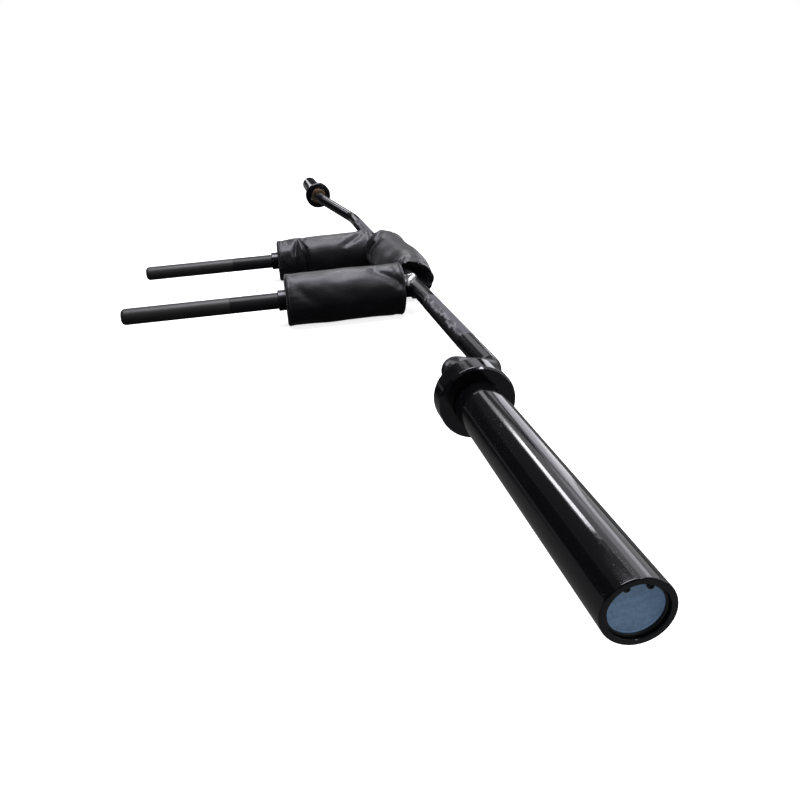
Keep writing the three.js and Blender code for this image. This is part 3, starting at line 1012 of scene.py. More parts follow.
@dataclass
class Handle:
    """One arm with its weld, rod and grip. Places run from the shaft's axis towards the grip's tip."""

    side: Side
    finishes: Finishes
    shaft: Shaft
    mouth_chamfer: float = 0.0012
    arm_wall: float = 0.004
    root: float = 0.024
    weld_radius: float = 0.0052
    weld_steps: int = 264
    weld_sides: int = 12
    weld_ripples: int = 30
    weld_thin: float = 0.86
    weld_ripple: float = 0.2
    weld_lump: float = 0.35
    weld_lump_scale: float = 130.0
    rod_chamfer: float = 0.002
    tip_round: float = 0.008
    grip_edge: float = 0.0006
    running_gap: float = 0.0002

    def __post_init__(self) -> None:
        """Reads the handle's places from the frame."""
        root, rod = middle(self.side.node("arm_tube")), middle(self.side.node("handle_rod"))
        self.origin = Vector((root.x, self.shaft.axis.y, rod.z))
        self.matrix = Matrix.Translation(self.origin) @ Matrix.Rotation(-math.pi / 2, 4, "Z")
        low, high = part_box(self.side.node("handle_rod"))
        self.rod_radius = half_width(self.side.node("handle_rod"), "z")
        self.mouth = self.shaft.axis.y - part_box(self.side.node("arm_tube"))[0].y
        self.rod_span = (self.shaft.axis.y - high.y, self.shaft.axis.y - low.y)
        grip_low, grip_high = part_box(self.side.node("handle_grip"))
        self.grip_radius = half_width(self.side.node("handle_grip"), "z")
        self.grip_span = (self.shaft.axis.y - grip_high.y, self.shaft.axis.y - grip_low.y)

    def build(self) -> None:
        """Builds the arm, the weld, the rod and the grip; only the weld has no flat faces to keep."""
        pieces = (
            ("arm", self.arm(), SHAFT_BLACK, "shaft_black", ["arm_tube"]),
            ("weld", self.weld(), WELD_BLACK, "shaft_black", []),
            ("rod", self.rod(), ROD_BLACK, "rod_black", ["handle_rod"]),
            ("grip", self.grip(), GRIP_RUBBER, "grip_rubber", ["handle_grip"]),
        )
        for name, shape, finish, slot, nodes in pieces:
            piece = add_piece(self.side.node(name), shape, self.finishes.get(finish), BAR_BODY,
                              [self.side.node(node) for node in nodes])
            if nodes:
                keep_flats(piece)

    def arm(self) -> Shape:
        """The arm tube; its solid root is set into the shaft and the weld.

        Returns:
            The shape.
        """
        bore = ARM_RADIUS - self.arm_wall
        edge = self.mouth_chamfer
        return lathed(
            self.matrix,
            Corner(0.0, 0.0), Corner(ARM_RADIUS, 0.0, edge), Corner(ARM_RADIUS, self.mouth, edge),
            Corner(bore, self.mouth, edge / 3), Corner(bore, self.root), Corner(0.0, self.root),
            closed=False)

    def weld(self) -> Shape:
        """A torus bent to the saddle where the arm's root meets the shaft, with a ripple per weld pass.

        Returns:
            The shape.
        """
        shape = bmesh.new()
        upright = Matrix.Translation((0, 0, ARM_RADIUS)) @ Matrix.Rotation(math.pi / 2, 4, "X")
        bmesh.ops.create_circle(shape, cap_ends=False, radius=self.weld_radius, segments=self.weld_sides,
                                matrix=upright)
        bmesh.ops.spin(shape, geom=shape.verts[:] + shape.edges[:], cent=(0, 0, 0), axis=(1, 0, 0),
                       dvec=(0, 0, 0), angle=2 * math.pi, steps=self.weld_steps, use_merge=True)
        bmesh.ops.remove_doubles(shape, verts=shape.verts, dist=MERGE_DISTANCE)
        rise = self.origin.z - self.shaft.axis.z
        for vert in shape.verts:
            angle = math.atan2(vert.co.z, vert.co.y)
            rim = Vector((0.0, math.cos(angle), math.sin(angle))) * ARM_RADIUS
            height = min(max(rim.z + rise, -self.shaft.radius), self.shaft.radius)
            drop = Vector((0.0, 0.0, height - rise - rim.z))
            pass_share = (angle / (2 * math.pi) * self.weld_ripples) % 1.0
            swell = (self.weld_thin + self.weld_ripple * math.sqrt(pass_share)
                     + self.weld_lump * noise.noise(rim * self.weld_lump_scale))
            vert.co = rim + (vert.co - rim) * swell + drop
            vert.co.x += math.sqrt(self.shaft.radius ** 2 - height ** 2)
        bmesh.ops.recalc_face_normals(shape, faces=shape.faces)
        return move(shape, self.matrix)

    def rod(self) -> Shape:
        """The steel rod, turned down inside the grip.

        Returns:
            The shape.
        """
        start, end = self.rod_span
        shoulder = self.grip_span[0] - self.running_gap
        return lathed(
            self.matrix,
            Corner(0.0, start), Corner(self.rod_radius, start, self.rod_chamfer),
            Corner(self.rod_radius, shoulder, self.grip_edge), Corner(ROD_NECK_RADIUS, shoulder),
            Corner(ROD_NECK_RADIUS, end, self.rod_chamfer), Corner(0.0, end),
            closed=False)

    def grip(self) -> Shape:
        """The rubber grip, flush with the rod, with its rounded tip.

        Returns:
            The shape.
        """
        start, end = self.grip_span
        bore = ROD_NECK_RADIUS + self.running_gap
        floor = self.rod_span[1] + self.running_gap
        return lathed(
            self.matrix,
            Corner(0.0, floor), Corner(bore, floor), Corner(bore, start),
            Corner(self.grip_radius, start, self.grip_edge), Corner(self.grip_radius, end, self.tip_round),
            Corner(0.0, end),
            closed=False)


# Sleeves


SHAFT_FIT_RADIUS = 0.0133
CAP_RIM = 0.0012
CAP_DISH = 0.0006


@dataclass
class Sleeve:
    """One plate sleeve with its collar, bushing, cap and circlip. Places run from the collar's inner face."""

    side: Side
    finishes: Finishes
    bore_radius: float = 0.018
    recess_radius: float = 0.0205
    groove_depth: float = 0.0012
    chamber_radius: float = 0.0187
    end_round: float = 0.0011
    collar_edge: float = 0.0022
    collar_soft: float = 0.0005
    small_edge: float = 0.0004
    circlip_gap: float = 0.015
    lug_radius: float = 0.0022
    lug_hole: float = 0.0011
    lug_inset: float = 0.0011
    clip_width: float = 0.0026
    fit: float = 0.0003

    def __post_init__(self) -> None:
        """Reads the sleeve's places from the frame."""
        turn = 0.0 if self.side is Side.RIGHT else math.pi
        low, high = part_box(self.side.node("collar"))
        inner = low.x if self.side is Side.RIGHT else high.x
        axis = middle(self.side.node("sleeve_tube"))
        self.matrix = Matrix.Translation((inner, axis.y, axis.z)) @ Matrix.Rotation(turn, 4, "Z")
        self.origin_x = inner
        self.collar_radius = half_width(self.side.node("collar"), "y")
        self.radius = half_width(self.side.node("sleeve_tube"), "y")
        self.body = self.side.node("sleeve")

    def span(self, name: str) -> tuple[float, float]:
        """Where a CAD node starts and ends along the sleeve.

        Args:
            name: the name without its side.

        Returns:
            The two places.
        """
        low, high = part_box(self.side.node(name))
        first, last = sorted(self.side.value * (end.x - self.origin_x) for end in (low, high))
        return first, last

    def build(self) -> None:
        """Builds every piece of the sleeve that shows."""
        pieces = (
            ("plate_sleeve", self.tube(), SLEEVE_BLACK, "sleeve_black", "sleeve_tube"),
            ("plate_collar", self.collar(), SLEEVE_BLACK, "sleeve_black", "collar"),
            ("flanged_bushing", self.bushing(), BRONZE, "bronze", "inner_bushing"),
            ("cap_disc", self.cap(), CAP_BLUE, "cap_blue", "end_cap"),
            ("retaining_clip", self.circlip(), SPRING_STEEL, "spring_steel", "circlip"),
        )
        for name, shape, finish, slot, node in pieces:
            keep_flats(add_piece(self.side.node(name), shape, self.finishes.get(finish), self.body,
                                 [self.side.node(node)]))

    def tube(self) -> Shape:
        """The sleeve's tube: bored for its bushings, with a recess and a groove in its end.

        Returns:
            The shape.
        """
        start, end = self.span("sleeve_tube")
        clip_start, clip_end = self.span("circlip")
        shoulder = self.span("end_cap")[0] - self.fit
        chamber = self.span("outer_bushing")[1]
        groove = self.recess_radius + self.groove_depth
        edge = self.small_edge
        return lathed(
            self.matrix,
            Corner(self.bore_radius, start), Corner(self.radius, start, edge),
            Corner(self.radius, end, self.end_round), Corner(self.recess_radius, end, edge),
            Corner(self.recess_radius, clip_end + self.fit / 2),
            Corner(groove, clip_end + self.fit / 2), Corner(groove, clip_start - self.fit / 2),
            Corner(self.recess_radius, clip_start - self.fit / 2), Corner(self.recess_radius, shoulder),
            Corner(self.chamber_radius, shoulder), Corner(self.chamber_radius, chamber),
            Corner(self.bore_radius, chamber),
        )

    def collar(self) -> Shape:
        """The collar: a thick ring, chamfered on both faces.

        Returns:
            The shape.
        """
        start, end = self.span("collar")
        bore = self.radius + self.fit
        radius, edge, soft = self.collar_radius, self.collar_edge, self.collar_soft
        return lathed(
            self.matrix,
            Corner(bore, start, soft), Corner(radius - edge, start, soft), Corner(radius, start + edge, soft),
            Corner(radius, end - edge, soft), Corner(radius - edge, end, soft), Corner(bore, end, soft),
        )

    def bushing(self) -> Shape:
        """The flanged bronze bushing.

        Returns:
            The shape.
        """
        start, end = self.span("inner_bushing")
        flange = half_width(self.side.node("inner_bushing"), "y")
        bore = SHAFT_FIT_RADIUS
        outer = self.bore_radius - self.fit
        edge = self.small_edge
        return lathed(
            self.matrix,
            Corner(bore, start, edge), Corner(flange, start, edge), Corner(flange, -self.fit, edge),
            Corner(outer, -self.fit), Corner(outer, end), Corner(bore, end),
        )

    def cap(self) -> Shape:
        """The plain cap disc, a little hollow inside its rim.

        Returns:
            The shape.
        """
        start, end = self.span("end_cap")
        radius = self.recess_radius - self.fit
        edge, dish = self.small_edge, CAP_DISH
        hollow = radius - CAP_RIM
        return lathed(
            self.matrix,
            Corner(0.0, start), Corner(radius, start, edge), Corner(radius, end, edge),
            Corner(hollow, end, edge), Corner(hollow - dish, end - dish, edge), Corner(0.0, end - dish),
            closed=False)

    def circlip(self) -> Shape:
        """The open retaining ring with its two drilled lugs.

        Returns:
            The shape.
        """
        start, end = self.span("circlip")
        outer = self.recess_radius + self.groove_depth - self.fit
        inner = outer - self.clip_width
        reach = inner - self.lug_inset
        lean = math.asin(self.circlip_gap / 2 / reach)
        ring = bmesh.new()
        corners = [ring.verts.new((place, 0.0, radius)) for radius, place in
                   ((inner, start), (outer, start), (outer, end), (inner, end))]
        ring.faces.new(corners)
        bmesh.ops.rotate(ring, verts=ring.verts, cent=(0, 0, 0), matrix=Matrix.Rotation(lean, 3, "X"))
        bmesh.ops.spin(ring, geom=ring.verts[:] + ring.edges[:] + ring.faces[:], cent=(0, 0, 0),
                       axis=(1, 0, 0), dvec=(0, 0, 0), angle=2 * math.pi - 2 * lean,
                       steps=TURN_STEPS // 2, use_merge=False)
        tidy(ring)
        shapes = [ring]
        for sign in (1, -1):
            lug = turned([
                Corner(self.lug_hole, start), Corner(self.lug_radius, start), Corner(self.lug_radius, end),
                Corner(self.lug_hole, end),
            ], steps=28)
            at = (0, sign * reach * math.sin(lean), reach * math.cos(lean))
            shapes.append(move(lug, Matrix.Translation(at)))
        return move(joined(*shapes), self.matrix)


# Sewn pads


PAD_FIT = 0.0008
SEAM_ROWS = (0.5, 0.9)
STITCH_PITCH = 0.0036
STITCH_SIZE = (0.0013, 0.0004, 0.0004)
RELAX_ROUNDS = 4
PAD_LEVELS = 2
REST_HEIGHT = 0.0
SIMULATION_FRAMES = 20
STUFFING = {
    "quality": 6, "mass": 0.3, "tension_stiffness": 12.0, "compression_stiffness": 12.0,
    "shear_stiffness": 4.0, "bending_stiffness": 1.5, "use_pressure": True,
    "uniform_pressure_force": 4.0, "shrink_min": -0.006,
}
STRIP_MARGIN = 0.024
STRIP_WIDTH = 0.038
STRIP_THICKNESS = 0.0009
STRIP_LIFT = 0.0001
SECTION_BINS = 24
BLANK_STEPS = 40
BLANK_TURN_STEPS = 96
RAY_START = 0.2
BODY_START, BODY_RISE = 1.2, 0.4
SEAM_DIP, SEAM_DIP_WIDTH = 0.0012, 0.0011
HEM_ROLL, HEM_ROLL_PLACE, HEM_ROLL_WIDTH = 0.0008, 0.7, 0.2
LONG_SEAM_SWELL, LONG_SEAM_SWELL_WIDTH = 0.0010, 0.005
LONG_SEAM_DIP, LONG_SEAM_DIP_WIDTH = 0.0024, 0.0014
DENT_DEPTH, GATHER_DEPTH, GATHER_REACH = 0.0014, 0.0010, 0.015
DENT_SCALES, GATHER_SCALES, GATHER_SEED = (26.0, 1.6), (22.0, 6.0), 5.0
SEAM_HOLD = 0.9
COVER_SHARE, COVER_TUBE_SHARE = 0.8, 1.6


def wrapped(turn: float) -> float:
    """Brings a turn between minus and plus half a circle.

    Args:
        turn: the turn.

    Returns:
        The same turn, wrapped.
    """
    return math.atan2(math.sin(turn), math.cos(turn))


def hump(offset: float, width: float) -> float:
    """A smooth hump of height 1.

    Args:
        offset: how far from its top.
        width: how wide it is.

    Returns:
        Its height there.
    """
    return math.exp(-(offset / width) ** 2)


@dataclass(frozen=True)
class Section:
    """A pad's section at one share of its length: its radius and its middle's shift from the tube."""

    share: float
    radius: float
    across: float = 0.0
    rise: float = 0.0


@dataclass(frozen=True)
class Fold:
    """A valley in the cloth along a path of places and turns; a ridge if its depth is negative."""

    path: tuple[tuple[float, float], ...]
    width: float
    depth: float
    taper: float = 0.0

    def lift(self, place: float, turn: float, radius: float) -> float:
        """How far the fold lifts the cloth.

        Args:
            place: along the pad, from its start.
            turn: round the pad.
            radius: the pad's radius there.

        Returns:
            The lift, in metres: below zero in a valley.
        """
        flat = [Vector((at - place, wrapped(angle - turn) * radius)) for at, angle in self.path]
        spans = [(*self.gap(a, b), k) for k, (a, b) in enumerate(zip(flat, flat[1:]))]
        gap, share, k = min(spans)
        size = 1.0 - self.taper * (1.0 - (k + share) / len(spans))
        return -self.depth * size * hump(gap, self.width * size)

    @staticmethod
    def gap(start: Vector, end: Vector) -> tuple[float, float]:
        """The distance from the origin to a line between two points.

        Args:
            start: one point.
            end: the other.

        Returns:
            The distance, and how far along the line it is measured, from 0 to 1.
        """
        step = end - start
        share = clamped(-start.dot(step) / max(step.length_squared, 1e-12))
        return (start + step * share).length, share


@dataclass
class SewnPad:
    """A sewn pad round a tube. Places run along its tube; turns go round it, from straight up."""

    name: str
    finishes: Finishes
    cover: str
    foam: str
    closure: str
    matrix: Matrix
    tube_radius: float
    sections: tuple[Section, ...]
    folds: tuple[Fold, ...] = ()
    rests: bool = False
    wrinkle_seed: float = 0.0
    closure_turn: float = math.pi
    swell: float = 0.003
    cap: float = 0.006
    voxel: float = 0.0042
    edge_round: float = 0.0045
    hollows: tuple[float, float] = (0.004, 0.004)
    rim: float = 0.007
    hem: float = 0.009
    seams: tuple[float, ...] = ()

    def __post_init__(self) -> None:
        """Reads the pad's length from the frame."""
        low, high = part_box(self.cover)
        back = self.matrix.inverted()
        self.start, self.end = sorted(((back @ low).x, (back @ high).x))
        self.length = self.end - self.start

    def section(self, place: float) -> Point:
        """The pad's radius and shift at a place, on a curve through its sections.

        Args:
            place: along the tube.

        Returns:
            Radius, shift across and rise.
        """
        share = (place - self.start) / self.length
        total = [0.0, 0.0, 0.0]
        for one in self.sections:
            weight = 1.0
            for other in self.sections:
                if other is not one:
                    weight *= (share - other.share) / (one.share - other.share)
            for k, value in enumerate((one.radius, one.across, one.rise)):
                total[k] += weight * value
        return total[0], total[1], total[2]

    def arm(self, point: Vector) -> tuple[Vector, float]:
        """The way from the pad's middle out to a point.

        Args:
            point: the point, in the pad's own frame.

        Returns:
            The way, square to the tube, and the pad's radius there.
        """
        radius, across, rise = self.section(point.x)
        return Vector((0.0, point.y - across, point.z - rise)), radius

    def reach(self, place: float) -> float:
        """The unstuffed pad's radius at a place.

        Args:
            place: along the tube.

        Returns:
            The radius.
        """
        return self.section(place)[0] - self.swell

    def blank(self) -> Shape:
        """The pad's plain form round its tube, before it is stuffed.

        Returns:
            The shape, along X.
        """
        bore = self.tube_radius + PAD_FIT
        places = [self.start + self.length * k / BLANK_STEPS for k in range(1, BLANK_STEPS)]
        outline = [Corner(self.reach(self.start), self.start, self.edge_round)]
        outline += [Corner(self.reach(place), place) for place in places]
        outline.append(Corner(self.reach(self.end), self.end, self.edge_round))
        first, last = self.start + self.hollows[0], self.end - self.hollows[1]
        head = [Corner(bore, first), Corner(self.reach(first) - self.rim, first - 0.6 * self.hollows[0])]
        tail = [Corner(self.reach(last) - self.rim, last + 0.6 * self.hollows[1]), Corner(bore, last)]
        shape = turned(head + outline + tail, steps=BLANK_TURN_STEPS)
        for vert in shape.verts:
            radius, across, rise = self.section(vert.co.x)
            share = clamped((vert.co.yz.length - bore) / (radius - bore))
            vert.co.y += across * share
            vert.co.z += rise * share
        return shape

    def start_cloth(self) -> bpy.types.Object:
        """Remeshes the blank evenly and adds a cloth modifier, held at the seams and bore.

        Returns:
            The object to simulate.
        """
        rough = new_object(self.name, self.blank())
        remesh = rough.modifiers.new("even", "REMESH")
        remesh.mode = "VOXEL"
        remesh.voxel_size = self.voxel
        self.bake(rough)
        self.rest = [v.co.copy() for v in rough.data.vertices]
        held = rough.vertex_groups.new(name="held")
        for vert in rough.data.vertices:
            held.add([vert.index], self.hold(vert.co), "REPLACE")
        cloth = rough.modifiers.new("stuffing", "CLOTH")
        for label, value in STUFFING.items():
            setattr(cloth.settings, label, value)
        cloth.settings.vertex_group_mass = "held"
        cloth.settings.effector_weights.gravity = 0.0
        cloth.collision_settings.use_collision = False
        cloth.point_cache.frame_start = 1
        cloth.point_cache.frame_end = SIMULATION_FRAMES
        return rough

    def hold(self, point: Vector) -> float:
        """How firmly the cloth is held: fully at the bore and the end faces, nearly at the end seams.

        Args:
            point: the point, in the pad's own frame.

        Returns:
            From 0 to 1.
        """
        from_end = min(point.x - self.start, self.end - point.x)
        radius, across, rise = self.section(point.x)
        out = math.hypot(point.y - across, point.z - rise)
        if out < radius - self.swell - self.rim or point.yz.length < self.tube_radius + 1.5 * self.voxel:
            return 1.0
        return max(0.0, 1.0 - abs(from_end - self.edge_round) / (2 * self.voxel)) * SEAM_HOLD

    @staticmethod
    def bake(piece: bpy.types.Object) -> None:
        """Applies an object's modifiers.

        Args:
            piece: the object.
        """
        graph = bpy.context.evaluated_depsgraph_get()
        graph.update()
        mesh = bpy.data.meshes.new_from_object(piece.evaluated_get(graph))
        piece.modifiers.clear()
        old = piece.data
        piece.data = mesh
        bpy.data.meshes.remove(old)

    def settle(self, piece: bpy.types.Object) -> None:
        """Turns the simulated cloth into the finished pad, and sews its seams and closure.

        Args:
            piece: the simulated object.
        """
        self.bake(piece)
        for vert, rest in zip(piece.data.vertices, self.rest):
            step = vert.co - rest
            if step.length > self.cap:
                vert.co = rest + step.normalized() * self.cap
        relax = piece.modifiers.new("relax", "SMOOTH")
        relax.factor = 0.5
        relax.iterations = RELAX_ROUNDS
        smooth = piece.modifiers.new("smooth", "SUBSURF")
        smooth.levels = smooth.render_levels = PAD_LEVELS
        self.bake(piece)
        self.fit_sections(piece.data)
        for vert in piece.data.vertices:
            vert.co = self.sewn(vert.co)
        piece.data.transform(self.matrix)
        if self.rests:
            for vert in piece.data.vertices:
                vert.co.z = max(vert.co.z, REST_HEIGHT)
        self.map_cloth(piece.data)
        piece.vertex_groups.clear()
        finish_piece(piece, self.finishes.get(COVER_CLOTH), BAR_BODY, [self.cover, self.foam])
        surface = self.surface(piece)
        add_piece(f"{self.name}_stitches", self.stitches(surface), self.finishes.get(THREAD),
                  BAR_BODY)
        add_piece(f"{self.name}_strip", self.strip(surface), self.finishes.get(TAPE),
                  BAR_BODY, [self.closure])

    def fit_sections(self, mesh: bpy.types.Mesh) -> None:
        """Brings the pad's mean radius at each place to its section's; its wrinkles stay.

        Args:
            mesh: the pad's mesh, in its own frame.
        """
        bins = SECTION_BINS
        sums = [[0.0, 0] for _ in range(bins)]
        polar = []
        for vert in mesh.vertices:
            arm, radius = self.arm(vert.co)
            k = min(bins - 1, max(0, int((vert.co.x - self.start) / self.length * bins)))
            body = arm.length > radius * COVER_SHARE and arm.length > self.tube_radius * COVER_TUBE_SHARE
            polar.append((arm, radius, k, body))
            if body:
                sums[k][0] += arm.length / radius
                sums[k][1] += 1
        shares = [s / n if n else 1.0 for s, n in sums]
        for vert, (arm, radius, k, body) in zip(mesh.vertices, polar):
            if not body:
                continue
            at = (vert.co.x - self.start) / self.length * bins - 0.5
            near = min(bins - 1, max(0, math.floor(at)))
            far = min(bins - 1, near + 1)
            mix = clamped(at - near)
            mean = shares[near] * (1 - mix) + shares[far] * mix
            vert.co += arm * (1 / mean - 1)

    def sewn(self, point: Vector) -> Vector:
        """Adds the hems, folds and fine wrinkles to a point of the pad.

        Args:
            point: the point, in the pad's own frame.

        Returns:
            Where it goes.
        """
        arm, radius = self.arm(point)
        reach = arm.length
        if reach < self.tube_radius * BODY_START:
            return point
        out = arm / reach
        turn = math.atan2(arm.y, arm.z)
        from_end = min(point.x - self.start, self.end - point.x)
        body = clamped((reach - self.tube_radius * BODY_START) / (radius * BODY_RISE))
        lift = 0.0
        for row in SEAM_ROWS:
            lift -= SEAM_DIP * hump(from_end - self.hem * row, SEAM_DIP_WIDTH)
        lift += HEM_ROLL * hump(from_end - self.hem * HEM_ROLL_PLACE, self.hem * HEM_ROLL_WIDTH)
        for fold in self.folds:
            lift += fold.lift(point.x - self.start, turn, radius)
        for seam in self.seams:
            spin = wrapped(turn - seam) * radius
            lift += LONG_SEAM_SWELL * hump(spin, LONG_SEAM_SWELL_WIDTH)
            lift -= LONG_SEAM_DIP * hump(spin, LONG_SEAM_DIP_WIDTH)
        return point + out * (lift + self.wrinkle(point.x, turn, from_end)) * body

    def wrinkle(self, place: float, turn: float, from_end: float) -> float:
        """Soft dents all over, and gathers that run in from the end seams.

        Args:
            place: along the tube.
            turn: round the pad.
            from_end: the distance to the nearer end.

        Returns:
            The lift, in metres.
        """
        along, around = DENT_SCALES
        dent = noise.noise(Vector((place * along, turn * around, self.wrinkle_seed)))
        along, around = GATHER_SCALES
        gather = noise.noise(Vector((place * along, turn * around, self.wrinkle_seed + GATHER_SEED)))
        return DENT_DEPTH * dent + GATHER_DEPTH * math.exp(-from_end / GATHER_REACH) * gather

    def map_cloth(self, mesh: bpy.types.Mesh) -> None:
        """Gives the cloth a UV map in metres along and round the pad.

        Args:
            mesh: the pad's mesh, in place.
        """
        layer = mesh.uv_layers.new(name=CLOTH_UV)
        back = self.matrix.inverted()
        flat = []
        for vert in mesh.vertices:
            point = back @ vert.co
            radius, across, rise = self.section(point.x)
            flat.append((point.x, math.atan2(point.y - across, point.z - rise), radius))
        for polygon in mesh.polygons:
            first = flat[mesh.loops[polygon.loop_start].vertex_index][1]
            for k in polygon.loop_indices:
                x, turn, radius = flat[mesh.loops[k].vertex_index]
                if turn - first > math.pi:
                    turn -= 2 * math.pi
                elif first - turn > math.pi:
                    turn += 2 * math.pi
                layer.data[k].uv = (x, turn * radius)

    @staticmethod
    def surface(piece: bpy.types.Object) -> BVHTree:
        """A tree of the finished pad, for laying things on it.

        Args:
            piece: the pad.

        Returns:
            The tree.
        """
        mesh = piece.data
        return BVHTree.FromPolygons([v.co for v in mesh.vertices], [p.vertices[:] for p in mesh.polygons])

    def land(self, surface: BVHTree, place: float, turn: float) -> tuple[Vector, Vector]:
        """The pad's surface at a place and turn.

        Args:
            surface: the pad's tree.
            place: along the tube.
            turn: round the pad.

        Returns:
            The point and the normal there.
        """
        _, across, rise = self.section(place)
        out = Vector((0.0, math.sin(turn), math.cos(turn)))
        start = self.matrix @ (Vector((place, across, rise)) + out * RAY_START)
        aim = self.matrix.to_3x3() @ -out
        hit, normal, _, _ = surface.ray_cast(start, aim)
        return hit, normal

    def stitches(self, surface: BVHTree) -> Shape:
        """Two rows of thread round each end, and one along each lengthwise seam.

        Args:
            surface: the pad's tree.

        Returns:
            The shape.
        """
        shape = bmesh.new()
        spots = []
        for row in SEAM_ROWS:
            for place in (self.start + self.hem * row, self.end - self.hem * row):
                radius = self.section(place)[0]
                count = round(2 * math.pi * radius / STITCH_PITCH)
                turn = 2 * math.pi / count
                spots += [((place, turn * k), (place, turn * (k + 0.5))) for k in range(count)]
        for seam in self.seams:
            count = round((self.length - 2 * self.hem) / STITCH_PITCH)
            first = self.start + self.hem
            spots += [((first + STITCH_PITCH * k, seam), (first + STITCH_PITCH * (k + 0.5), seam))
                      for k in range(count)]
        for here, there in spots:
            point, normal = self.land(surface, *here)
            ahead, _ = self.land(surface, *there)
            if point is None or ahead is None:
                continue
            along = (ahead - point).normalized()
            side = normal.cross(along).normalized()
            turned_to = Matrix((along, side, normal)).transposed().to_4x4()
            size = Matrix.Diagonal((*STITCH_SIZE, 1.0))
            bmesh.ops.create_icosphere(shape, subdivisions=1, radius=1.0,
                                       matrix=Matrix.Translation(point) @ turned_to @ size)
        return shape

    def strip(self, surface: BVHTree) -> Shape:
        """The closure strip along the pad, at its closure's turn.

        Args:
            surface: the pad's tree.

        Returns:
            The shape.
        """
        margin, width, thickness, lift = STRIP_MARGIN, STRIP_WIDTH, STRIP_THICKNESS, STRIP_LIFT
        shape = bmesh.new()
        bmesh.ops.create_grid(shape, x_segments=60, y_segments=12, size=0.5)
        for vert in shape.verts:
            place = self.start + margin + (self.length - 2 * margin) * (vert.co.x + 0.5)
            turn = self.closure_turn + vert.co.y * width / self.section(place)[0]
            point, normal = self.land(surface, place, turn)
            vert.co = point + normal * (lift + thickness)
            if self.rests:
                vert.co.z = max(vert.co.z, REST_HEIGHT + thickness)
        bmesh.ops.recalc_face_normals(shape, faces=shape.faces)
        bmesh.ops.solidify(shape, geom=shape.faces[:], thickness=thickness)
        bmesh.ops.recalc_face_normals(shape, faces=shape.faces)
        return shape


SAG = Fold(((0.0, math.pi), (0.229, math.pi)), 0.03, -0.0025)
RIGHT_FOLDS = (
    SAG,
    Fold(((0.056, 0.36), (0.048, 0.52), (0.034, 0.72), (0.017, 1.00), (0.002, 1.30), (-0.02, 1.5)),
         0.0085, 0.0046),
    Fold(((0.200, 0.95), (0.188, 1.30), (0.170, 1.55)), 0.010, 0.0016),
    Fold(((0.150, 0.90), (0.135, 1.15), (0.100, 1.35)), 0.012, 0.0012),
    Fold(((0.205, 1.15), (0.165, 1.20)), 0.014, 0.0018),
    Fold(((0.120, 0.55), (0.185, 0.75)), 0.010, 0.0010),
)
LEFT_FOLDS = (
    SAG,
    Fold(((0.174, 0.02), (0.168, 0.55), (0.162, 0.90), (0.160, 2.20)), 0.0070, 0.0120, 0.88),
    Fold(((0.175, 0.10), (0.182, 0.55), (0.186, 1.00), (0.184, 2.20)), 0.0070, 0.0080, 0.88),
    Fold(((0.175, 0.33), (0.170, 0.95)), 0.0035, -0.0020),
    Fold(((0.022, -0.20), (0.045, 0.30), (0.075, 0.75)), 0.010, -0.0016),
    Fold(((0.030, 0.38), (0.048, 0.70), (0.067, 0.92)), 0.007, 0.0028),
    Fold(((0.028, 0.80), (0.047, 0.95), (0.066, 1.10)), 0.009, -0.0012),
    Fold(((0.014, -0.05), (0.022, 0.10)), 0.009, -0.0040),
)
NECK_FOLDS = (
    Fold(((0.026, -0.12), (0.046, -0.45), (0.054, -0.78), (0.046, -1.35)), 0.009, -0.0030),
    Fold(((0.014, -0.18), (0.026, -0.45), (0.033, -0.75), (0.031, -1.30)), 0.0065, 0.0085, 0.6),
    Fold(((0.006, -0.20), (0.010, -0.50), (0.013, -0.80), (0.012, -1.30)), 0.010, -0.0040),
    Fold(((0.232, 0.20), (0.225, 0.60)), 0.020, 0.0060),
    Fold(((0.203, -0.31), (0.209, -0.52), (0.214, -0.72), (0.222, -1.10)), 0.008, 0.0080, 0.85),
)


@dataclass
class Upholstery:
    """The three pads, simulated together."""

    finishes: Finishes
    shaft: Shaft
    handles: dict[Side, Handle]

    def pads(self) -> list[SewnPad]:
        """Describes the three pads.

        Returns:
            The pads.
        """
        right = SewnPad(
            "shoulder_pad_right", self.finishes, "shoulder_cover_right", "shoulder_foam_right",
            "shoulder_closure_right", self.handles[Side.RIGHT].matrix, ARM_RADIUS,
            (Section(0.0, 0.0485), Section(0.5, 0.0495), Section(1.0, 0.0485)),
            folds=RIGHT_FOLDS, rests=True, wrinkle_seed=1.7, closure_turn=-2.0)
        left = SewnPad(
            "shoulder_pad_left", self.finishes, "shoulder_cover_left", "shoulder_foam_left",
            "shoulder_closure_left", self.handles[Side.LEFT].matrix, ARM_RADIUS,
            (Section(0.0, 0.0490), Section(0.5, 0.0495), Section(1.0, 0.0455)),
            folds=LEFT_FOLDS, rests=True, wrinkle_seed=8.3, closure_turn=2.45)
        neck = SewnPad(
            "neck_pad", self.finishes, "neck_cover", "neck_foam", "neck_closure",
            Matrix.Translation(self.shaft.axis), self.shaft.radius,
            (Section(0.0, 0.0475, 0.002, 0.005), Section(0.5, 0.0445, 0.009, 0.002),
             Section(0.8, 0.0435, 0.0145, -0.003), Section(1.0, 0.0385, 0.018, -0.009)),
            folds=NECK_FOLDS, wrinkle_seed=4.1, hollows=(0.006, 0.026), seams=(0.4,))
        return [right, left, neck]

    def build(self) -> None:
        """Simulates the pads and finishes them."""
        pads = self.pads()
        clothed = [(pad, pad.start_cloth()) for pad in pads]
        for number in range(1, SIMULATION_FRAMES + 1):
            bpy.context.scene.frame_set(number)
        for pad, piece in clothed:
            pad.settle(piece)


# Studio


WINDOW_TINT = (0.94, 0.94, 1.0)
BOX_TINT = (0.96, 0.955, 1.0)
MIDDLE_SHADE = 0.08


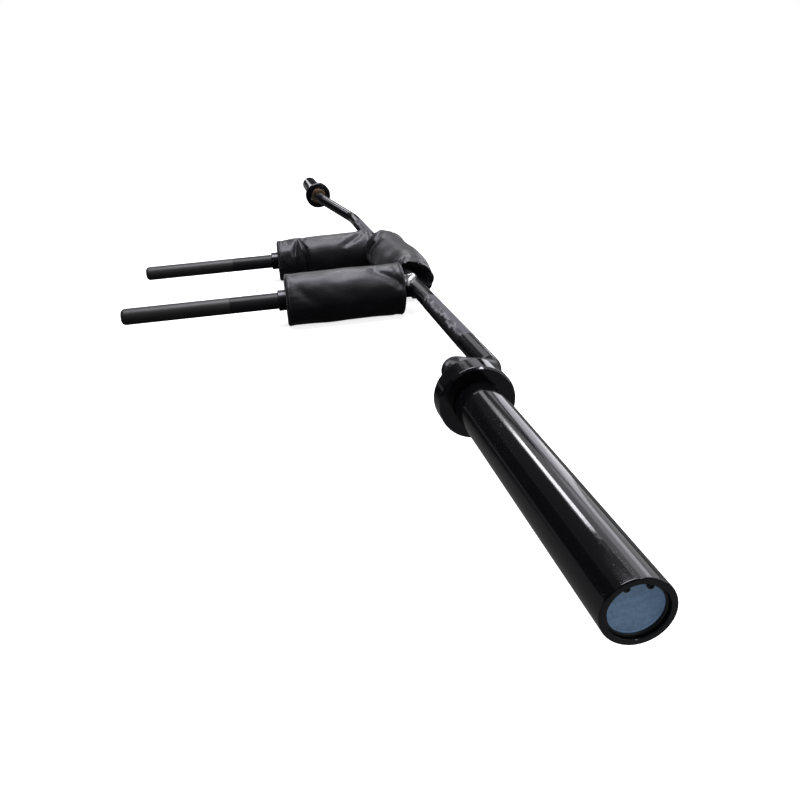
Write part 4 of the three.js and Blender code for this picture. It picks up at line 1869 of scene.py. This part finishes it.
@dataclass(frozen=True)
class Softbox:
    """A soft lamp: where it hangs, what it faces, its size and how bright it looks."""

    name: str
    place: Point
    aim: Point
    size: tuple[float, float]
    radiance: float
    colour: Colour = (1.0, 1.0, 1.0)
    mirrored: bool = True

    def build(self) -> None:
        """Hangs the lamp out of the camera's sight; reflections see it only if it is mirrored."""
        data = bpy.data.lights.new(self.name, "AREA")
        data.shape = "RECTANGLE"
        data.size, data.size_y = self.size
        data.energy = self.radiance * math.pi * self.size[0] * self.size[1]
        data.color = self.colour
        lamp = linked(self.name, data)
        lamp.matrix_world = facing(Vector(self.place), Vector(self.aim))
        lamp.visible_camera = False
        lamp.visible_glossy = self.mirrored


@dataclass(frozen=True)
class Flag:
    """A dark studio card that only reflections see."""

    name: str
    place: Point
    aim: Point
    size: tuple[float, float]
    shade: float = 0.02
    shaded_reach: float = 0.0

    def build(self) -> None:
        """Sets the card up; a shaded reach keeps it near black round the bar's middle: a painted shadow of
        the bar on the floor, which reflections see.
        """
        shape = bmesh.new()
        bmesh.ops.create_grid(shape, x_segments=1, y_segments=1, size=0.5)
        bmesh.ops.scale(shape, vec=(*self.size, 1.0), verts=shape.verts)
        move(shape, facing(Vector(self.place), Vector(self.aim)))
        card = new_object(self.name, shape)
        material = bpy.data.materials.new(self.name)
        graph = Graph.cleared(material)
        glow = graph.add("Emission", {"Color": (self.shade, self.shade, self.shade, 1.0)})
        # Painted shadow: the card's glow fades round the bar's middle, standing in for the floor's shadow
        # under the pads.
        if self.shaded_reach:
            graph.feed(glow.inputs["Strength"], graph.spread(
                graph.away(), self.shaded_reach, 2 * self.shaded_reach, MIDDLE_SHADE, 1.0))
        graph.add("OutputMaterial", {"Surface": glow.outputs[0]})
        card.data.materials.append(material)
        card.visible_camera = False
        card.visible_diffuse = False
        card.visible_transmission = False
        card.visible_shadow = False
        card.visible_volume_scatter = False


def facing(place: Vector, aim: Vector) -> Matrix:
    """A matrix that stands at a place and looks at another.

    Args:
        place: where it stands.
        aim: what it faces with its -Z.

    Returns:
        The matrix.
    """
    look = (aim - place).to_track_quat("-Z", "Y").to_matrix().to_4x4()
    return Matrix.Translation(place) @ look


@dataclass
class Studio:
    """The floor, the lamps, the white background and the camera."""

    camera_place: Point = (1.3971, -0.02909, 0.41072)
    camera_turn: Point = (70.3328, 4.5298, 83.8932)
    lens: float = 29.936
    shift: tuple[float, float] = (0.09794, -0.08291)
    floor_size: float = 30.0
    white_reach: float = 1.5
    lamps: tuple[Softbox, ...] = (
        Softbox("window", (-2.4, 3.0, 1.87), (-2.4, 0.0, 1.87), (4.4, 0.9), 2.3, WINDOW_TINT),
        Softbox("low_window", (-3.45, 3.0, 0.71), (-3.45, 0.0, 0.71), (2.3, 1.42), 2.3, WINDOW_TINT),
        Softbox("high_window", (-2.4, 3.0, 3.3), (-2.4, 0.0, 3.3), (4.4, 1.9), 0.9, WINDOW_TINT),
        Softbox("strip", (-1.6, 0.50, 2.2), (-1.6, 0.42, 0.1), (1.0, 0.4), 12.0),
        Softbox("strip_edge", (-2.1, 0.46, 2.25), (-2.1, 0.4, 0.1), (1.8, 0.6), 1.8),
        Softbox("back", (-5.0, 0.35, 2.0), (0.0, 0.1, 0.1), (1.0, 2.2), 1.03, BOX_TINT),
        Softbox("back_right", (-5.0, 1.85, 2.45), (0.0, 0.25, 0.1), (2.0, 1.1), 1.0, BOX_TINT),
        Softbox("back_low", (-5.0, -0.7, 1.15), (0.0, 0.0, 0.1), (1.3, 1.3), 1.6, WINDOW_TINT),
        Softbox("top", (-0.02, -0.05, 2.3), (-0.02, 0.05, 0.0), (1.45, 1.6), 9.2, BOX_TINT),
        Softbox("glint", (1.8, 1.2, 2.2), (0.9, 0.17, 0.1), (0.35, 0.35), 20.0),
        Softbox("fill", (4.0, -0.6, 1.4), (0.5, 0.1, 0.1), (2.0, 2.0), 1.0, mirrored=False),
    )
    flags: tuple[Flag, ...] = (
        # The floor flag's shaded reach paints the shadow under the pads into the floor that reflections see.
        Flag("floor_flag", (0.0, 0.0, -0.0005), (0.0, 0.0, 1.0), (16.0, 16.0), 0.16, 0.36),
        Flag("left_flag", (-2.0, -4.0, 2.5), (-2.0, 0.0, 2.5), (14.0, 5.0), 0.02),
        Flag("back_flag", (-7.0, 0.0, 2.5), (0.0, 0.0, 2.5), (12.0, 5.0), 0.03),
        Flag("front_flag", (5.0, 0.0, 2.5), (0.0, 0.0, 2.5), (14.0, 5.0), 0.02),
        Flag("ceiling_flag", (-1.0, -1.4, 4.0), (-1.0, -1.4, 0.0), (12.0, 5.2), 0.1),
    )

    def build(self) -> None:
        """Sets the studio up."""
        self.camera()
        self.world()
        self.floor()
        for lamp in self.lamps:
            lamp.build()
        for flag in self.flags:
            flag.build()
        bpy.context.scene.view_settings.view_transform = "Standard"

    def camera(self) -> None:
        """Places the camera at the photograph's viewpoint."""
        data = bpy.data.cameras.new("camera")
        data.sensor_width = 36.0
        data.lens = self.lens
        data.shift_x, data.shift_y = self.shift
        data.clip_start, data.clip_end = 0.01, 100.0
        camera = linked("camera", data)
        camera.location = self.camera_place
        camera.rotation_euler = [math.radians(a) for a in self.camera_turn]
        bpy.context.scene.camera = camera

    @staticmethod
    def seen(graph: Graph) -> bpy.types.NodeSocket:
        """Tells camera, glossy and transmission rays from the rest.

        Args:
            graph: the graph.

        Returns:
            1 on those rays.
        """
        path = graph.add("LightPath").outputs
        seen = graph.maths("ADD", path["Is Camera Ray"], path["Is Glossy Ray"], clamp=True)
        return graph.maths("ADD", seen, path["Is Transmission Ray"], clamp=True)

    def world(self) -> None:
        """Makes the world white where it is seen, and a dim pale light elsewhere."""
        world = bpy.data.worlds.new("studio")
        bpy.context.scene.world = world
        graph = Graph.cleared(world)
        light = graph.add("Background", {"Color": (0.9, 0.92, 1.0, 1.0), "Strength": 0.1})
        white = graph.add("Background", {"Color": (1.0, 1.0, 1.0, 1.0)})
        mix = graph.add("MixShader", {0: self.seen(graph), 1: light.outputs[0], 2: white.outputs[0]})
        graph.add("OutputWorld", {"Surface": mix.outputs[0]})

    def floor(self) -> None:
        """Lays the floor: pale to the camera and reflections, dark grey to bounce light, which paints shade
        on the undersides of the bar and pads.
        """
        shape = bmesh.new()
        bmesh.ops.create_grid(shape, x_segments=1, y_segments=1, size=self.floor_size / 2)
        bmesh.ops.translate(shape, verts=shape.verts, vec=(0.0, 0.0, -0.001))
        floor = new_object("floor", shape)
        material = bpy.data.materials.new("floor")
        graph = Graph.cleared(material)
        # Painted shade: bounce light sees a dark grey floor, so the undersides stay dark.
        painted_shade_bounce = graph.add("BsdfDiffuse", {"Color": (0.15, 0.15, 0.15, 1.0)})
        pale = graph.add("BsdfDiffuse", {"Color": (0.8, 0.8, 0.8, 1.0)})
        white = graph.spread(graph.away(), 0.3 * self.white_reach, self.white_reach, 0.8, 1.0)
        glow = graph.add("Emission", {"Strength": white})
        seen = graph.add("AddShader", {0: pale.outputs[0], 1: glow.outputs[0]})
        mix = graph.add("MixShader", {0: self.seen(graph), 1: painted_shade_bounce.outputs[0], 2: seen.outputs[0]})
        graph.add("OutputMaterial", {"Surface": mix.outputs[0]})
        floor.data.materials.append(material)


def dress_cad_nodes(finishes: Finishes) -> None:
    """Gives the CAD nodes that stay their finishes.

    Args:
        finishes: the materials.
    """
    kept = {"outer_bushing": BRONZE, "thrust_washer": SPRING_STEEL, "snap_ring": SPRING_STEEL}
    for name, finish in kept.items():
        for side in Side:
            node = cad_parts[side.node(name)]
            node.data.materials.clear()
            node.data.materials.append(finishes.get(finish))
            log.info("%s: kept", node.name)


def main() -> None:
    """Builds the studio, then the bar from its shaft outwards."""
    logging.basicConfig(level=logging.INFO, format="%(message)s")
    Studio().build()
    finishes = Finishes()
    shaft = Shaft(finishes)
    shaft.build()
    handles = {side: Handle(side, finishes, shaft) for side in Side}
    for handle in handles.values():
        handle.build()
    for side in Side:
        Sleeve(side, finishes).build()
    Upholstery(finishes, shaft, handles).build()
    dress_cad_nodes(finishes)


if __name__ == "__main__":
    main()
